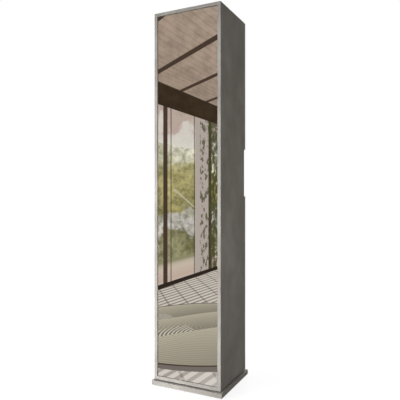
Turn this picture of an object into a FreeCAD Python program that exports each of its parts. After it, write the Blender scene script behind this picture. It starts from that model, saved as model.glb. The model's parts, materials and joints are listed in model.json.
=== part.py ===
import FreeCAD, Part
import math
import os
import re
import Sketcher
from FreeCAD import Vector

# Revolving wardrobe cabinet: a tall mirror-fronted board cabinet that turns on a low ball bearing
# over a square base board, with a hinged door at the back.
# Millimetres, +Z up. The origin is on the floor, on the turning axis, under the middle of the base.
# The mirror faces -Y, the door is on the +Y side, and its hinges are at its -X edge.

# ---------------------------------------------------------------------------------------------
# Driving dimensions: name, size, meaning
# ---------------------------------------------------------------------------------------------
SIZES = {
    "total_height": (1880.0, "floor to the top of the top board"),
    "cabinet_width": (365.0, "outside of one side board to the outside of the other"),
    "cabinet_depth": (329.0, "front edges of the boards to the outside of the door"),
    "board": (16.0, "thickness of the cabinet boards"),
    "edge_band": (1.0, "edge bands glued to the boards' visible edges"),
    "base_width": (386.0, "base board, left to right"),
    "base_depth": (350.0, "base board, front to back"),
    "base_thickness": (22.0, "base board"),
    "glide_height": (3.0, "floor glides"),
    "glide_radius": (12.5, "floor glides"),
    "glide_inset": (32.0, "glide centre to the edges of the base"),
    "turntable_gap": (6.0, "base board to cabinet, filled by the ball bearing"),
    "mirror_recess": (4.0, "front edges of the boards to the mirror"),
    "mirror_thickness": (4.0, "mirror glass"),
    "mirror_margin": (1.0, "gap round the mirror"),
    "mirror_arris": (1.0, "ground edge round the front of the mirror"),
    "tape_thickness": (1.5, "foam tape behind the mirror"),
    "tape_width": (25.0, "foam tape"),
    "tape_inset": (20.0, "foam tape to the edges of the mirror"),
    "door_gap": (2.0, "rear edges of the cabinet to the door"),
    "door_reveal": (1.0, "door to the top and the bottom of the cabinet"),
    "grip_length": (250.0, "finger notch in the door, along the edge"),
    "grip_depth": (40.0, "finger notch, inwards from the edge"),
    "grip_height": (1080.0, "floor to the middle of the finger notch"),
    "grip_corner": (10.0, "inner corner radius of the finger notch"),
    "bumper_radius": (4.0, "door bumpers"),
    "bumper_play": (0.3, "bumper to the closed door"),
    # shelves
    "lower_shelf_height": (448.0, "inside bottom to the top of the fixed shoe shelf"),
    "hat_shelf_height": (1524.0, "inside bottom to the top of the hat shelf"),
    "loose_shelf_height": (224.0, "inside bottom to the top of the adjustable shelf"),
    "shelf_setback": (3.0, "rear edges of the shelves behind the cabinet's rear edges"),
    "shelf_play": (1.0, "adjustable shelf to what is round it"),
    "pin_radius": (2.5, "shelf pins"),
    "pin_length": (16.0, "shelf pins"),
    "pin_seat": (9.0, "depth of the shelf pin holes"),
    "pin_pitch": (32.0, "distance between shelf pin holes"),
    "pin_hole_count": (5.0, "shelf pin holes in each row"),
    "row_inset": (37.0, "front and rear rows of holes, from the panel edges"),
    # board joints
    "dowel_radius": (4.0, "wooden dowels"),
    "dowel_length": (30.0, "wooden dowels"),
    "dowel_in_side": (10.0, "length of the dowel in the side board"),
    "dowel_inset": (30.0, "dowel to the end of the joint"),
    "cam_radius": (7.5, "cam discs"),
    "cam_depth": (12.0, "cam discs"),
    "cam_setting": (34.0, "centre of the cam disc to the face of the side board"),
    "bolt_radius": (3.0, "shank of the cam bolts"),
    "bolt_seat": (11.0, "length of the cam bolt in the side board"),
    "fit": (0.05, "clearance round dowels, pins and screws"),
    # turntable bearing
    "ball_circle": (110.0, "radius of the circle through the balls"),
    "ball_radius": (2.0, "bearing balls"),
    "ball_count": (18.0, "bearing balls"),
    "ball_play": (0.15, "ball to the groove"),
    "ring_play": (1.0, "rings to the ball circle and to the board that turns past them"),
    "ring_width": (17.0, "radial width of a ring"),
    "cage_thickness": (1.2, "ball cage"),
    "cage_play": (0.4, "ball cage to the boards above and below"),
    "screw_count": (6.0, "screws in each ring"),
    "ring_screw_radius": (2.0, "shank of the ring screws"),
    "ring_screw_head": (4.0, "head of the inner ring's countersunk screws"),
    "ring_screw_length": (20.0, "inner ring's screws"),
    "cabinet_bolt_radius": (2.5, "shank of the bolts through the cabinet floor"),
    "cabinet_bolt_head": (4.8, "head radius of these bolts"),
    "cabinet_bolt_head_height": (2.6, "head height of these bolts"),
    # concealed hinges, in the plane across the pins: right from the outside of the hinge side board,
    # back from the rear edge of the side board
    "hinge_count": (4.0, "hinges"),
    "hinge_inset": (100.0, "first and last hinge to the ends of the door"),
    "cup_radius": (17.5, "hinge cup"),
    "cup_setting": (20.5, "centre of the cup to the edge of the door"),
    "cup_depth": (11.5, "hinge cup"),
    "cup_wall": (1.0, "hinge cup"),
    "flange_thickness": (1.2, "flange of the cup on the door"),
    "flange_half_length": (31.0, "flange, middle to end"),
    "flange_play": (3.0, "flange to the inner face of the side board"),
    "flange_overhang": (3.5, "flange past the cup, on the open side"),
    "flange_corner": (6.0, "corner radius of the flange"),
    "cup_screw_offset": (24.0, "cup screws above and below the middle"),
    "arm_pivot_right": (31.54, "pin of the outer link in the arm"),
    "arm_pivot_back": (-19.95, "pin of the outer link in the arm"),
    "nose_pivot_right": (28.86, "pin of the inner link in the arm"),
    "nose_pivot_back": (7.86, "pin of the inner link in the arm"),
    "outer_cup_right": (7.84, "pin of the outer link in the cup"),
    "outer_cup_back": (3.91, "pin of the outer link in the cup"),
    "inner_cup_right": (11.53, "pin of the inner link in the cup"),
    "inner_cup_back": (8.21, "pin of the inner link in the cup"),
    "outer_elbow_right": (25.14, "bend of the outer link"),
    "outer_elbow_back": (8.51, "bend of the outer link"),
    "inner_elbow_right": (27.19, "bend of the inner link"),
    "inner_elbow_back": (8.1, "bend of the inner link"),
    "link_pin_radius": (0.9, "hinge pins"),
    "link_pin_play": (0.08, "link to its pins"),
    "open_eye_play": (1.6, "inner link to its pin in the cup"),
    "outer_link_half": (1.4, "half the width of the outer link"),
    "inner_link_half": (1.3, "half the width of the inner link"),
    "eye_radius": (1.8, "rounded ends of the links"),
    "open_eye_radius": (3.1, "rounded end of the inner link in the cup"),
    "nose_half": (2.0, "half the width of the arm's nose"),
    "inner_link_half_height": (2.6, "inner link, middle to edge, along the pins"),
    "nose_plate": (1.5, "thickness of the arm's nose plates"),
    "link_plate": (1.5, "thickness of the outer link's plates"),
    "plate_play": (0.3, "gap between the plates on a pin"),
    "wing_thickness": (2.0, "wings of the mounting plate"),
    "wing_half_height": (24.0, "wings of the mounting plate, middle to end"),
    "wing_corner": (5.0, "corner radius of the wings"),
    "wing_screw_offset": (16.0, "plate screws above and below the middle"),
    "rail_height": (8.5, "mounting plate, from the side board"),
    "rail_half": (7.0, "half the width of the plate's rail"),
    "plate_back": (-24.0, "rear end of the mounting plate and arm"),
    "plate_length": (42.0, "mounting plate and arm, front to back"),
    "wing_width": (18.0, "wings of the mounting plate, front to back"),
    "arm_height": (11.0, "arm, from the plate's rail"),
    "arm_half": (8.0, "half the width of the arm"),
    "arm_corner": (2.5, "corner radius of the arm"),
    "arm_screw_inset": (9.0, "fixing and adjusting screws, from the ends of the arm"),
    "arm_screw_radius": (2.0, "shank of the arm screws"),
    "arm_screw_head": (4.0, "head radius of the arm screws"),
    "arm_screw_head_height": (1.6, "head height of the arm screws"),
    "arm_screw_length": (15.0, "shank length of the arm screws"),
    "plate_screw_radius": (1.8, "shank of the plate and cup screws"),
    "plate_screw_head": (3.4, "head radius of these screws"),
    "plate_screw_head_height": (1.8, "head height of these screws"),
    "plate_screw_length": (12.0, "shank length of these screws"),
    # coat hooks
    "hook_height": (1450.0, "inside bottom to the middle of the hook plates"),
    "hook_spacing": (150.0, "distance between the two hooks"),
    "hook_plate_width": (22.0, "hook plate"),
    "hook_plate_height": (70.0, "hook plate"),
    "hook_plate_thickness": (3.0, "hook plate"),
    "hook_plate_corner": (6.0, "corner radius of the hook plate"),
    "hook_rod": (4.0, "radius of the hook rods"),
    "hook_reach": (22.0, "straight part of the rods"),
    "hook_bend": (12.0, "bend radius of the rods"),
    "hook_knob": (5.0, "radius of the knobs on the rods"),
    "upper_rod_offset": (9.0, "upper rod above the middle of the plate"),
    "upper_rod_rise": (20.0, "upturned end of the upper rod"),
    "lower_rod_offset": (18.0, "lower rod below the middle of the plate"),
    "lower_rod_rise": (2.5, "upturned end of the lower rod"),
    "hook_screw_offset": (28.0, "hook screws above and below the middle of the plate"),
    "hook_screw_radius": (2.0, "shank of the hook screws"),
    "hook_screw_head": (3.8, "head radius of the hook screws"),
    "hook_screw_head_height": (2.0, "head height of the hook screws"),
    "hook_screw_length": (15.0, "shank length of the hook screws"),
}

# Places that follow from the driving dimensions
PLACES = {
    "base_top": "glide_height + base_thickness",
    "cabinet_floor": "base_top + turntable_gap",
    "inside_floor": "cabinet_floor + board",
    "inside_top": "total_height - board",
    "inside_height": "inside_top - inside_floor",
    "side_outside": "cabinet_width / 2",
    "side_inside": "side_outside - board",
    "front_edge": "-cabinet_depth / 2",
    "door_outside": "cabinet_depth / 2",
    "door_inside": "door_outside - board",
    "rear_edge": "door_inside - door_gap",
    "mirror_front": "front_edge + mirror_recess",
    "mirror_back": "mirror_front + mirror_thickness",
    "backing_front": "mirror_back + tape_thickness",
    "backing_back": "backing_front + board",
    "mirror_right": "side_inside - mirror_margin",
    "front_core": "front_edge + edge_band",
    "rear_core": "rear_edge - edge_band",
    "top_core": "total_height - edge_band",
    "shelf_back": "rear_edge - shelf_setback",
    "shelf_core": "shelf_back - edge_band",
    "door_bottom": "cabinet_floor + door_reveal",
    "door_top": "total_height - door_reveal",
    "grip_bottom": "grip_height - grip_length / 2",
    "grip_top": "grip_height + grip_length / 2",
    "lower_shelf_top": "inside_floor + lower_shelf_height",
    "hat_shelf_top": "inside_floor + hat_shelf_height",
    "loose_shelf_top": "inside_floor + loose_shelf_height",
    "loose_shelf_bottom": "loose_shelf_top - board",
    "pin_height": "loose_shelf_bottom - pin_radius",
    "front_row": "backing_back + row_inset",
    "rear_row": "rear_edge - row_inset",
    "groove_radius": "ball_radius + ball_play",
    "ball_height": "base_top + turntable_gap / 2",
    "inner_ring_outside": "ball_circle - ring_play",
    "inner_ring_inside": "inner_ring_outside - ring_width",
    "inner_ring_top": "cabinet_floor - ring_play",
    "inner_screw_circle": "inner_ring_outside - ring_width / 2",
    "outer_ring_inside": "ball_circle + ring_play",
    "outer_ring_outside": "outer_ring_inside + ring_width",
    "outer_ring_bottom": "base_top + ring_play",
    "outer_screw_circle": "outer_ring_inside + ring_width / 2",
    "hinge_left": "-side_outside",
    "first_hinge": "door_bottom + hinge_inset",
    "hinge_pitch": "(door_top - door_bottom - 2 * hinge_inset) / (hinge_count - 1)",
    "cup_x": "hinge_left + cup_setting",
    "hinge_face": "hinge_left + board",
    "rail_face": "hinge_face + rail_height",
    "arm_face": "rail_face + arm_height",
    "plate_y": "rear_edge + plate_back",
    "flange_left": "hinge_face + flange_play",
    "flange_right": "cup_x + cup_radius + flange_overhang",
    "nose_low": "inner_link_half_height + plate_play",
    "nose_high": "nose_low + nose_plate",
    "link_low": "nose_high + plate_play",
    "link_high": "link_low + link_plate",
    "arm_x": "hinge_left + arm_pivot_right",
    "arm_y": "rear_edge + arm_pivot_back",
    "nose_x": "hinge_left + nose_pivot_right",
    "nose_y": "rear_edge + nose_pivot_back",
    "outer_cup_x": "hinge_left + outer_cup_right",
    "outer_cup_y": "rear_edge + outer_cup_back",
    "inner_cup_x": "hinge_left + inner_cup_right",
    "inner_cup_y": "rear_edge + inner_cup_back",
    "outer_elbow_x": "hinge_left + outer_elbow_right",
    "outer_elbow_y": "rear_edge + outer_elbow_back",
    "inner_elbow_x": "hinge_left + inner_elbow_right",
    "inner_elbow_y": "rear_edge + inner_elbow_back",
    "hook_middle": "inside_floor + hook_height",
    "hook_face": "backing_back + hook_plate_thickness",
    "upper_rod": "hook_middle + upper_rod_offset",
    "lower_rod": "hook_middle - lower_rod_offset",
}

doc = FreeCAD.newDocument("RevolvingCabinet")
sheet = doc.addObject("Spreadsheet::Sheet", "Sizes")
for row, (name, (size, meaning)) in enumerate(SIZES.items(), start=1):
    sheet.set(f"A{row}", meaning)
    sheet.set(f"B{row}", str(size))
    sheet.setAlias(f"B{row}", name)
doc.recompute()

WORD = re.compile(r"[a-z][a-z_]*[a-z]")


def full(expression):
    """The expression in terms of the sheet's cells alone."""
    def cell(match):
        word = match.group()
        if word in PLACES:
            return f"({full(PLACES[word])})"
        return f"Sizes.{word}" if word in SIZES else word
    return WORD.sub(cell, expression)


def value(expression):
    """The number that the expression comes to now."""
    return float(sheet.evalExpression(full(expression)))


def count(name):
    return int(value(name))


# ---------------------------------------------------------------------------------------------
# Sketches and features
# ---------------------------------------------------------------------------------------------
PLANES = {"X": "YZ_Plane", "Y": "XZ_Plane", "Z": "XY_Plane"}
MIDDLE = "0"
FLOOR = "0"
NOTHING = "0"
SAME_LEVEL = 0.01
LEAST_CUT = 0.001
parts = []


def origin_item(body, role):
    return next(item for item in body.Origin.OriginFeatures if item.Role == role)


def new_body(label):
    body = doc.addObject("PartDesign::Body", label)
    body.Label = label
    body.AllowCompound = True
    parts.append(body)
    return body


def new_sketch(body, axis, level):
    """A sketch across the axis at the level. Across Y its own normal is -Y."""
    sketch = body.newObject("Sketcher::SketchObject", "Sketch")
    sketch.AttachmentSupport = [(origin_item(body, PLANES[axis]), "")]
    sketch.MapMode = "FlatFace"
    offset = f"-({level})" if axis == "Y" else level
    sketch.AttachmentOffset.Base = Vector(0, 0, value(offset))
    sketch.setExpression("AttachmentOffset.Base.z", full(offset))
    return sketch


def bind(sketch, kind, geometry, point, expression):
    constraint = Sketcher.Constraint(kind, -1, 1, geometry, point, value(expression))
    index = sketch.addConstraint(constraint)
    sketch.setExpression(f"Constraints[{index}]", full(expression))


def polygon(sketch, corners):
    first = sketch.GeometryCount
    points = [Vector(value(across), value(along), 0) for across, along in corners]
    for start, end in zip(points, points[1:] + points[:1]):
        sketch.addGeometry(Part.LineSegment(start, end), False)
    for step, (across, along) in enumerate(corners):
        following = first + (step + 1) % len(corners)
        sketch.addConstraint(Sketcher.Constraint("Coincident", first + step, 2, following, 1))
        bind(sketch, "DistanceX", first + step, 1, across)
        bind(sketch, "DistanceY", first + step, 1, along)


def rectangle(sketch, left, low, right, high):
    polygon(sketch, [(left, low), (right, low), (right, high), (left, high)])


def outline(sketch, corners):
    """A closed outline of level and upright lines, with the corners that have a radius rounded.
    At a square corner the next line's start holds the end of the line before it."""
    places = [Vector(value(across), value(along), 0) for across, along, _ in corners]
    radii = [radius for _, _, radius in corners]
    total = len(corners)

    def heading(number, other):
        """Which way the other corner lies, as -1, 0 or 1 across and along."""
        step = places[other % total] - places[number]
        return [0 if abs(part) < SAME_LEVEL else int(math.copysign(1, part)) for part in step[:2]]

    def moved(number, *ways):
        """The corner moved by its radius each of the ways, as two expressions."""
        radius = radii[number] or NOTHING
        return [" + ".join([f"({place})"] + [f"({way[axis]}) * ({radius})" for way in ways])
                for axis, place in enumerate(corners[number][:2])]

    first = sketch.GeometryCount
    for number in range(total):
        following = (number + 1) % total
        ends = [moved(number, heading(number, number + 1)),
                moved(following, heading(following, number))]
        start, end = (Vector(value(across), value(along), 0) for across, along in ends)
        line = sketch.addGeometry(Part.LineSegment(start, end), False)
        held = ends if radii[following] else ends[:1]
        for point, (across, along) in enumerate(held, start=1):
            bind(sketch, "DistanceX", line, point, across)
            bind(sketch, "DistanceY", line, point, along)
    for number, radius in enumerate(radii):
        before, after = first + (number - 1) % total, first + number
        if radius is None:
            sketch.addConstraint(Sketcher.Constraint("Coincident", before, 2, after, 1))
            continue
        back, on = heading(number, number - 1), heading(number, number + 1)
        across, along = moved(number, back, on)
        centre = Vector(value(across), value(along), 0)
        left_turn = on[0] * back[1] - on[1] * back[0] > 0
        begin = math.atan2(-on[1], -on[0]) if left_turn else math.atan2(-back[1], -back[0])
        whole = Part.Circle(centre, Vector(0, 0, 1), value(radius))
        arc = sketch.addGeometry(Part.ArcOfCircle(whole, begin, begin + math.pi / 2), False)
        ends = (1, 2) if left_turn else (2, 1)
        sketch.addConstraint(Sketcher.Constraint("Coincident", before, 2, arc, ends[0]))
        sketch.addConstraint(Sketcher.Constraint("Coincident", arc, ends[1], after, 1))
        rule = sketch.addConstraint(Sketcher.Constraint("Radius", arc, value(radius)))
        sketch.setExpression(f"Constraints[{rule}]", full(radius))


def rounded(sketch, left, low, right, high, radius):
    outline(sketch, [(left, low, radius), (right, low, radius), (right, high, radius),
                     (left, high, radius)])


def circle(sketch, across, along, radius):
    centre = Vector(value(across), value(along), 0)
    index = sketch.addGeometry(Part.Circle(centre, Vector(0, 0, 1), value(radius)), False)
    bind(sketch, "DistanceX", index, 3, across)
    bind(sketch, "DistanceY", index, 3, along)
    rule = sketch.addConstraint(Sketcher.Constraint("Radius", index, value(radius)))
    sketch.setExpression(f"Constraints[{rule}]", full(radius))


def extrude(body, kind, sketch, length, turned):
    feature = body.newObject(f"PartDesign::{kind}", kind)
    feature.Profile = sketch
    feature.Length = value(length)
    feature.setExpression("Length", full(length))
    feature.Reversed = turned
    body.Tip = feature
    return feature


def pad(body, axis, low, high, draw):
    """Material between two levels along the axis, over the outline that draw puts in the sketch."""
    sketch = new_sketch(body, axis, high if axis == "Y" else low)
    draw(sketch)
    return extrude(body, "Pad", sketch, f"({high}) - ({low})", False)


def cut(body, axis, low, high, draw):
    """A recess between two levels along the axis."""
    sketch = new_sketch(body, axis, low if axis == "Y" else high)
    draw(sketch)
    return extrude(body, "Pocket", sketch, f"({high}) - ({low})", False)


def drill(body, axis, low, high, centres, radius):
    def draw(sketch):
        for across, along in centres:
            circle(sketch, across, along, radius)
    return cut(body, axis, low, high, draw)


def rod(body, axis, low, high, centres, radius):
    def draw(sketch):
        for across, along in centres:
            circle(sketch, across, along, radius)
    return pad(body, axis, low, high, draw)


def block(body, axis, low, high, *bounds):
    return pad(body, axis, low, high, lambda sketch: rectangle(sketch, *bounds))


def rounded_block(body, axis, low, high, *bounds):
    return pad(body, axis, low, high, lambda sketch: rounded(sketch, *bounds))


def flat(edge, axis, level):
    """Whether the whole edge lies at one level along the axis."""
    return all(abs(getattr(vertex, axis) - level) < SAME_LEVEL for vertex in edge.Vertexes)


def chamfer(body, base, size, chosen):
    """A chamfer on the chosen edges of the base feature."""
    doc.recompute()
    names = [f"Edge{number}" for number, edge in enumerate(base.Shape.Edges, start=1)
             if chosen(edge)]
    feature = body.newObject("PartDesign::Chamfer", "Chamfer")
    feature.Base = (base, names)
    feature.setExpression("Size", full(size))
    body.Tip = feature


def revolve(body, kind, draw):
    """A turned form about the Z axis, from a profile in the XZ plane."""
    sketch = new_sketch(body, "Y", MIDDLE)
    draw(sketch)
    feature = body.newObject(f"PartDesign::{kind}", kind)
    feature.Profile = sketch
    feature.ReferenceAxis = (origin_item(body, "Z_Axis"), [""])
    feature.Angle = 360
    body.Tip = feature
    return feature


def around(body, features, number):
    """The features repeated evenly about the turning axis."""
    pattern = body.newObject("PartDesign::PolarPattern", "Around")
    pattern.Originals = features
    pattern.Axis = (origin_item(body, "Z_Axis"), [""])
    pattern.Angle = 360
    pattern.setExpression("Occurrences", full(number))
    body.Tip = pattern
    return pattern


def gather(label, pieces):
    """Separate pieces of one kind, kept together under one label."""
    group = doc.addObject("Part::Compound", label)
    group.Label = label
    group.Links = pieces
    parts.append(group)


def bands(label, strips):
    """Edge bands, each one from a corner (x, y, z) to the opposite corner."""
    boxes = []
    for low, high in strips:
        box = doc.addObject("Part::Box", "Band")
        for direction, extent, start, end in zip("xyz", ("Length", "Width", "Height"), low, high):
            box.setExpression(f"Placement.Base.{direction}", full(start))
            box.setExpression(extent, full(f"({end}) - ({start})"))
        boxes.append(box)
    gather(label, boxes)


def mirrored(side, inner, outer):
    """Two levels on one side of the middle, the lower one first."""
    return (inner, outer) if side > 0 else (f"-({outer})", f"-({inner})")


def every_hinge(body, features):
    """The features of the lowest hinge repeated at each hinge."""
    pattern = body.newObject("PartDesign::LinearPattern", "EveryHinge")
    pattern.Originals = features
    pattern.Direction = (origin_item(body, "Z_Axis"), [""])
    pattern.setExpression("Length", full("hinge_pitch * (hinge_count - 1)"))
    pattern.setExpression("Occurrences", full("hinge_count"))
    body.Tip = pattern
    return pattern


# ---------------------------------------------------------------------------------------------
# Base: board, glides and the inner ring of the bearing
# ---------------------------------------------------------------------------------------------
def ring_places(circle_radius):
    """Screw centres of the first screw; the pattern makes the rest."""
    return [(circle_radius, MIDDLE)]


def base_board():
    body = new_body("base_board")
    block(body, "Z", "glide_height", "base_top",
          "-base_width / 2 + edge_band", "-base_depth / 2 + edge_band",
          "base_width / 2 - edge_band", "base_depth / 2 - edge_band")
    hole = drill(body, "Z", "inner_ring_top - ring_screw_length - fit", "base_top",
                 ring_places("inner_screw_circle"), "ring_screw_radius + fit")
    around(body, [hole], "screw_count")


def base_edge_bands():
    """Long strips in front and behind, short ones between them at the sides."""
    strips = []
    for side in (-1, 1):
        front, rear = mirrored(side, "base_depth / 2 - edge_band", "base_depth / 2")
        left, right = mirrored(side, "base_width / 2 - edge_band", "base_width / 2")
        strips.append((("-base_width / 2", front, "glide_height"),
                       ("base_width / 2", rear, "base_top")))
        strips.append(((left, "-base_depth / 2 + edge_band", "glide_height"),
                       (right, "base_depth / 2 - edge_band", "base_top")))
    bands("base_edge_bands", strips)


def floor_glides():
    body = new_body("floor_glides")
    centres = [(f"{side} * (base_width / 2 - glide_inset)", f"{end} * (base_depth / 2 - glide_inset)")
               for side in (-1, 1) for end in (-1, 1)]
    rod(body, "Z", FLOOR, "glide_height", centres, "glide_radius")


def bearing_inner_ring():
    body = new_body("bearing_inner_ring")
    revolve(body, "Revolution", lambda sketch: rectangle(
        sketch, "inner_ring_inside", "base_top", "inner_ring_outside", "inner_ring_top"))
    revolve(body, "Groove", lambda sketch: circle(
        sketch, "ball_circle", "ball_height", "groove_radius"))
    places = ring_places("inner_screw_circle")
    shank = drill(body, "Z", "base_top", "inner_ring_top", places, "ring_screw_radius + fit")
    head = cone_cut(body)
    around(body, [shank, head], "screw_count")


def cone_outline(sketch, play):
    """Half outline of the countersunk head, from the shank up to the ring's top face."""
    low = "inner_ring_top - ring_screw_head + ring_screw_radius"
    shank = f"inner_screw_circle + ring_screw_radius + {play}"
    polygon(sketch, [("inner_screw_circle", low), (shank, low),
                     (f"inner_screw_circle + ring_screw_head + {play}", "inner_ring_top"),
                     ("inner_screw_circle", "inner_ring_top")])


def turn_on_edge(body, kind, sketch, edge):
    """A turned form about an edge of its own profile."""
    feature = body.newObject(f"PartDesign::{kind}", kind)
    feature.Profile = sketch
    feature.ReferenceAxis = (sketch, [edge])
    feature.Angle = 360
    body.Tip = feature
    return feature


def cone_cut(body):
    sketch = new_sketch(body, "Y", MIDDLE)
    cone_outline(sketch, "fit")
    return turn_on_edge(body, "Groove", sketch, "Edge4")


def bearing_base_screws():
    body = new_body("bearing_base_screws")
    sketch = new_sketch(body, "Y", MIDDLE)
    cone_outline(sketch, NOTHING)
    head = turn_on_edge(body, "Revolution", sketch, "Edge4")
    shank = rod(body, "Z", "inner_ring_top - ring_screw_length",
                "inner_ring_top - ring_screw_head + ring_screw_radius",
                ring_places("inner_screw_circle"), "ring_screw_radius")
    around(body, [head, shank], "screw_count")


# ---------------------------------------------------------------------------------------------
# Balls and cage, which roll round at about half the cabinet's turn
# ---------------------------------------------------------------------------------------------
def ball_cage():
    body = new_body("ball_cage")
    revolve(body, "Revolution", lambda sketch: rectangle(
        sketch, "ball_circle - cage_thickness / 2", "base_top + cage_play",
        "ball_circle + cage_thickness / 2", "cabinet_floor - cage_play"))
    window = drill(body, "X", "ball_circle - cage_thickness", "ball_circle + cage_thickness",
                   [(MIDDLE, "ball_height")], "ball_radius + fit")
    around(body, [window], "ball_count")


def bearing_balls():
    balls = []
    for number in range(count("ball_count")):
        ball = doc.addObject("Part::Sphere", f"Ball{number}")
        turn = f"360 deg * {number} / ball_count"
        ball.setExpression("Radius", full("ball_radius"))
        ball.setExpression("Placement.Base.x", full(f"ball_circle * cos({turn})"))
        ball.setExpression("Placement.Base.y", full(f"ball_circle * sin({turn})"))
        ball.setExpression("Placement.Base.z", full("ball_height"))
        balls.append(ball)
    gather("bearing_balls", balls)


# ---------------------------------------------------------------------------------------------
# Cabinet boards
# ---------------------------------------------------------------------------------------------
# Horizontal boards between the sides: bottom face, front edge, rear edge
CROSS_BOARDS = {
    "bottom_panel": ("cabinet_floor", "front_edge", "rear_edge"),
    "top_panel": ("inside_top", "front_edge", "rear_edge"),
    "lower_fixed_shelf": ("lower_shelf_top - board", "backing_back", "shelf_back"),
    "hat_shelf": ("hat_shelf_top - board", "backing_back", "shelf_back"),
}
# Edges of each board's core where a band covers it
BANDED = {"front_edge": "front_core", "rear_edge": "rear_core", "shelf_back": "shelf_core"}
BACKING_DOWELS = 4


def joint_rows(bottom, front, rear):
    """Dowel centres and the cam centre along one end of a cross board, as (y, z)."""
    middle = f"{bottom} + board / 2"
    dowels = [(f"{front} + dowel_inset", middle), (f"{rear} - dowel_inset", middle)]
    return dowels, (f"({front} + {rear}) / 2", middle)


def backing_rows():
    """Dowel centres up each end of the mirror's backing board, as (y, z)."""
    step = f"(inside_height - 4 * dowel_inset) / {BACKING_DOWELS - 1}"
    return [("backing_front + board / 2", f"inside_floor + 2 * dowel_inset + {number} * {step}")
            for number in range(BACKING_DOWELS)]


def end_holes(body, dowels, cams):
    """Dowel and cam bolt holes in both ends of a board."""
    reach = "dowel_length - dowel_in_side + fit"
    for depth, centres, radius in ((reach, dowels, "dowel_radius"), ("cam_setting", cams, "bolt_radius")):
        if centres:
            drill(body, "X", "-side_inside", f"-side_inside + {depth}", centres, f"{radius} + fit")
            drill(body, "X", f"side_inside - ({depth})", "side_inside", centres, f"{radius} + fit")


def cam_centres(cam):
    """Centres of the two cam discs of a cross board, as (x, y)."""
    return [("-side_inside + cam_setting", cam[0]), ("side_inside - cam_setting", cam[0])]


def cross_board(label):
    bottom, front, rear = CROSS_BOARDS[label]
    body = new_body(label)
    block(body, "Z", bottom, f"{bottom} + board",
          "-side_inside", BANDED.get(front, front), "side_inside", BANDED[rear])
    dowels, cam = joint_rows(bottom, front, rear)
    end_holes(body, dowels, [cam])
    drill(body, "Z", bottom, f"{bottom} + cam_depth + fit", cam_centres(cam), "cam_radius + fit")
    if label == "bottom_panel":
        hole = drill(body, "Z", bottom, f"{bottom} + board",
                     ring_places("outer_screw_circle"), "cabinet_bolt_radius + fit")
        around(body, [hole], "screw_count")


def side_panel(label, side):
    """A full-height side board. side is -1 for the hinge side and 1 for the grip side."""
    body = new_body(label)
    low, high = mirrored(side, "side_inside", "side_outside")
    block(body, "X", low, high, "front_core", "cabinet_floor", "rear_core", "top_core")

    def bore(depth, centres, radius):
        """Blind holes from the inner face outwards."""
        if side < 0:
            drill(body, "X", f"-side_inside - ({depth})", "-side_inside", centres, radius)
        else:
            drill(body, "X", "side_inside", f"side_inside + {depth}", centres, radius)
    dowels = backing_rows()
    cams = []
    for bottom, front, rear in CROSS_BOARDS.values():
        more, cam = joint_rows(bottom, front, rear)
        dowels += more
        cams.append(cam)
    bore("dowel_in_side + fit", dowels, "dowel_radius + fit")
    bore("bolt_seat + fit", cams, "bolt_radius + fit")
    bore("pin_seat + fit", pin_holes(), "pin_radius + fit")
    if side < 0:
        for places in plate_screw_rows():
            bore("plate_screw_length - wing_thickness + fit", places, "plate_screw_radius + fit")


def panel_edge_bands():
    """Bands on the front, rear and top of the side boards and in front of and behind top and bottom."""
    strips = []
    edges = (("front_edge", "front_core"), ("rear_core", "rear_edge"))
    for side in (-1, 1):
        left, right = mirrored(side, "side_inside", "side_outside")
        strips += [((left, front, "cabinet_floor"), (right, rear, "total_height"))
                   for front, rear in edges]
        strips.append(((left, "front_core", "top_core"), (right, "rear_core", "total_height")))
    for bottom, top in (("cabinet_floor", "inside_floor"), ("inside_top", "total_height")):
        strips += [(("-side_inside", front, bottom), ("side_inside", rear, top))
                   for front, rear in edges]
    bands("panel_edge_bands", strips)


def shelf_edge_bands():
    """Bands on the rear edges of the shelves, which show when the door is open."""
    shelves = (("lower_shelf_top", NOTHING), ("hat_shelf_top", NOTHING),
               ("loose_shelf_top", "shelf_play"))
    bands("shelf_edge_bands", [((f"-side_inside + {play}", "shelf_core", f"{top} - board"),
                                (f"side_inside - {play}", "shelf_back", top))
                               for top, play in shelves])


def pin_holes():
    """Shelf pin holes of one side board, as (y, z): two rows, centred on the pins in use."""
    middle = (count("pin_hole_count") - 1) / 2
    return [(row, f"pin_height + ({number - middle}) * pin_pitch")
            for row in ("front_row", "rear_row") for number in range(count("pin_hole_count"))]


def plate_screw_rows():
    """Screw holes of every hinge plate, as lists of (y, z)."""
    return [[("rear_row", f"first_hinge + {number} * hinge_pitch + {end} * wing_screw_offset")
             for end in (-1, 1)] for number in range(count("hinge_count"))]


def mirror_backing_panel():
    body = new_body("mirror_backing_panel")
    block(body, "Y", "backing_front", "backing_back",
          "-side_inside", "inside_floor", "side_inside", "inside_top")
    end_holes(body, backing_rows(), [])
    drill(body, "Y", "hook_face - hook_screw_length - fit", "backing_back",
          hook_screw_centres(), "hook_screw_radius + fit")


def mirror_glass():
    body = new_body("mirror_glass")
    slab = block(body, "Y", "mirror_front", "mirror_back", "-mirror_right",
                 "inside_floor + mirror_margin", "mirror_right", "inside_top - mirror_margin")
    front = value("mirror_front")
    chamfer(body, slab, "mirror_arris", lambda edge: flat(edge, "Y", front))


def mirror_tape():
    body = new_body("mirror_tape")

    def draw(sketch):
        low = "inside_floor + mirror_margin + tape_inset"
        high = "inside_top - mirror_margin - tape_inset"
        rectangle(sketch, "-mirror_right + tape_inset", low,
                  "-mirror_right + tape_inset + tape_width", high)
        rectangle(sketch, "-tape_width / 2", low, "tape_width / 2", high)
        rectangle(sketch, "mirror_right - tape_inset - tape_width", low,
                  "mirror_right - tape_inset", high)
    pad(body, "Y", "mirror_back", "backing_front", draw)


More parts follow.
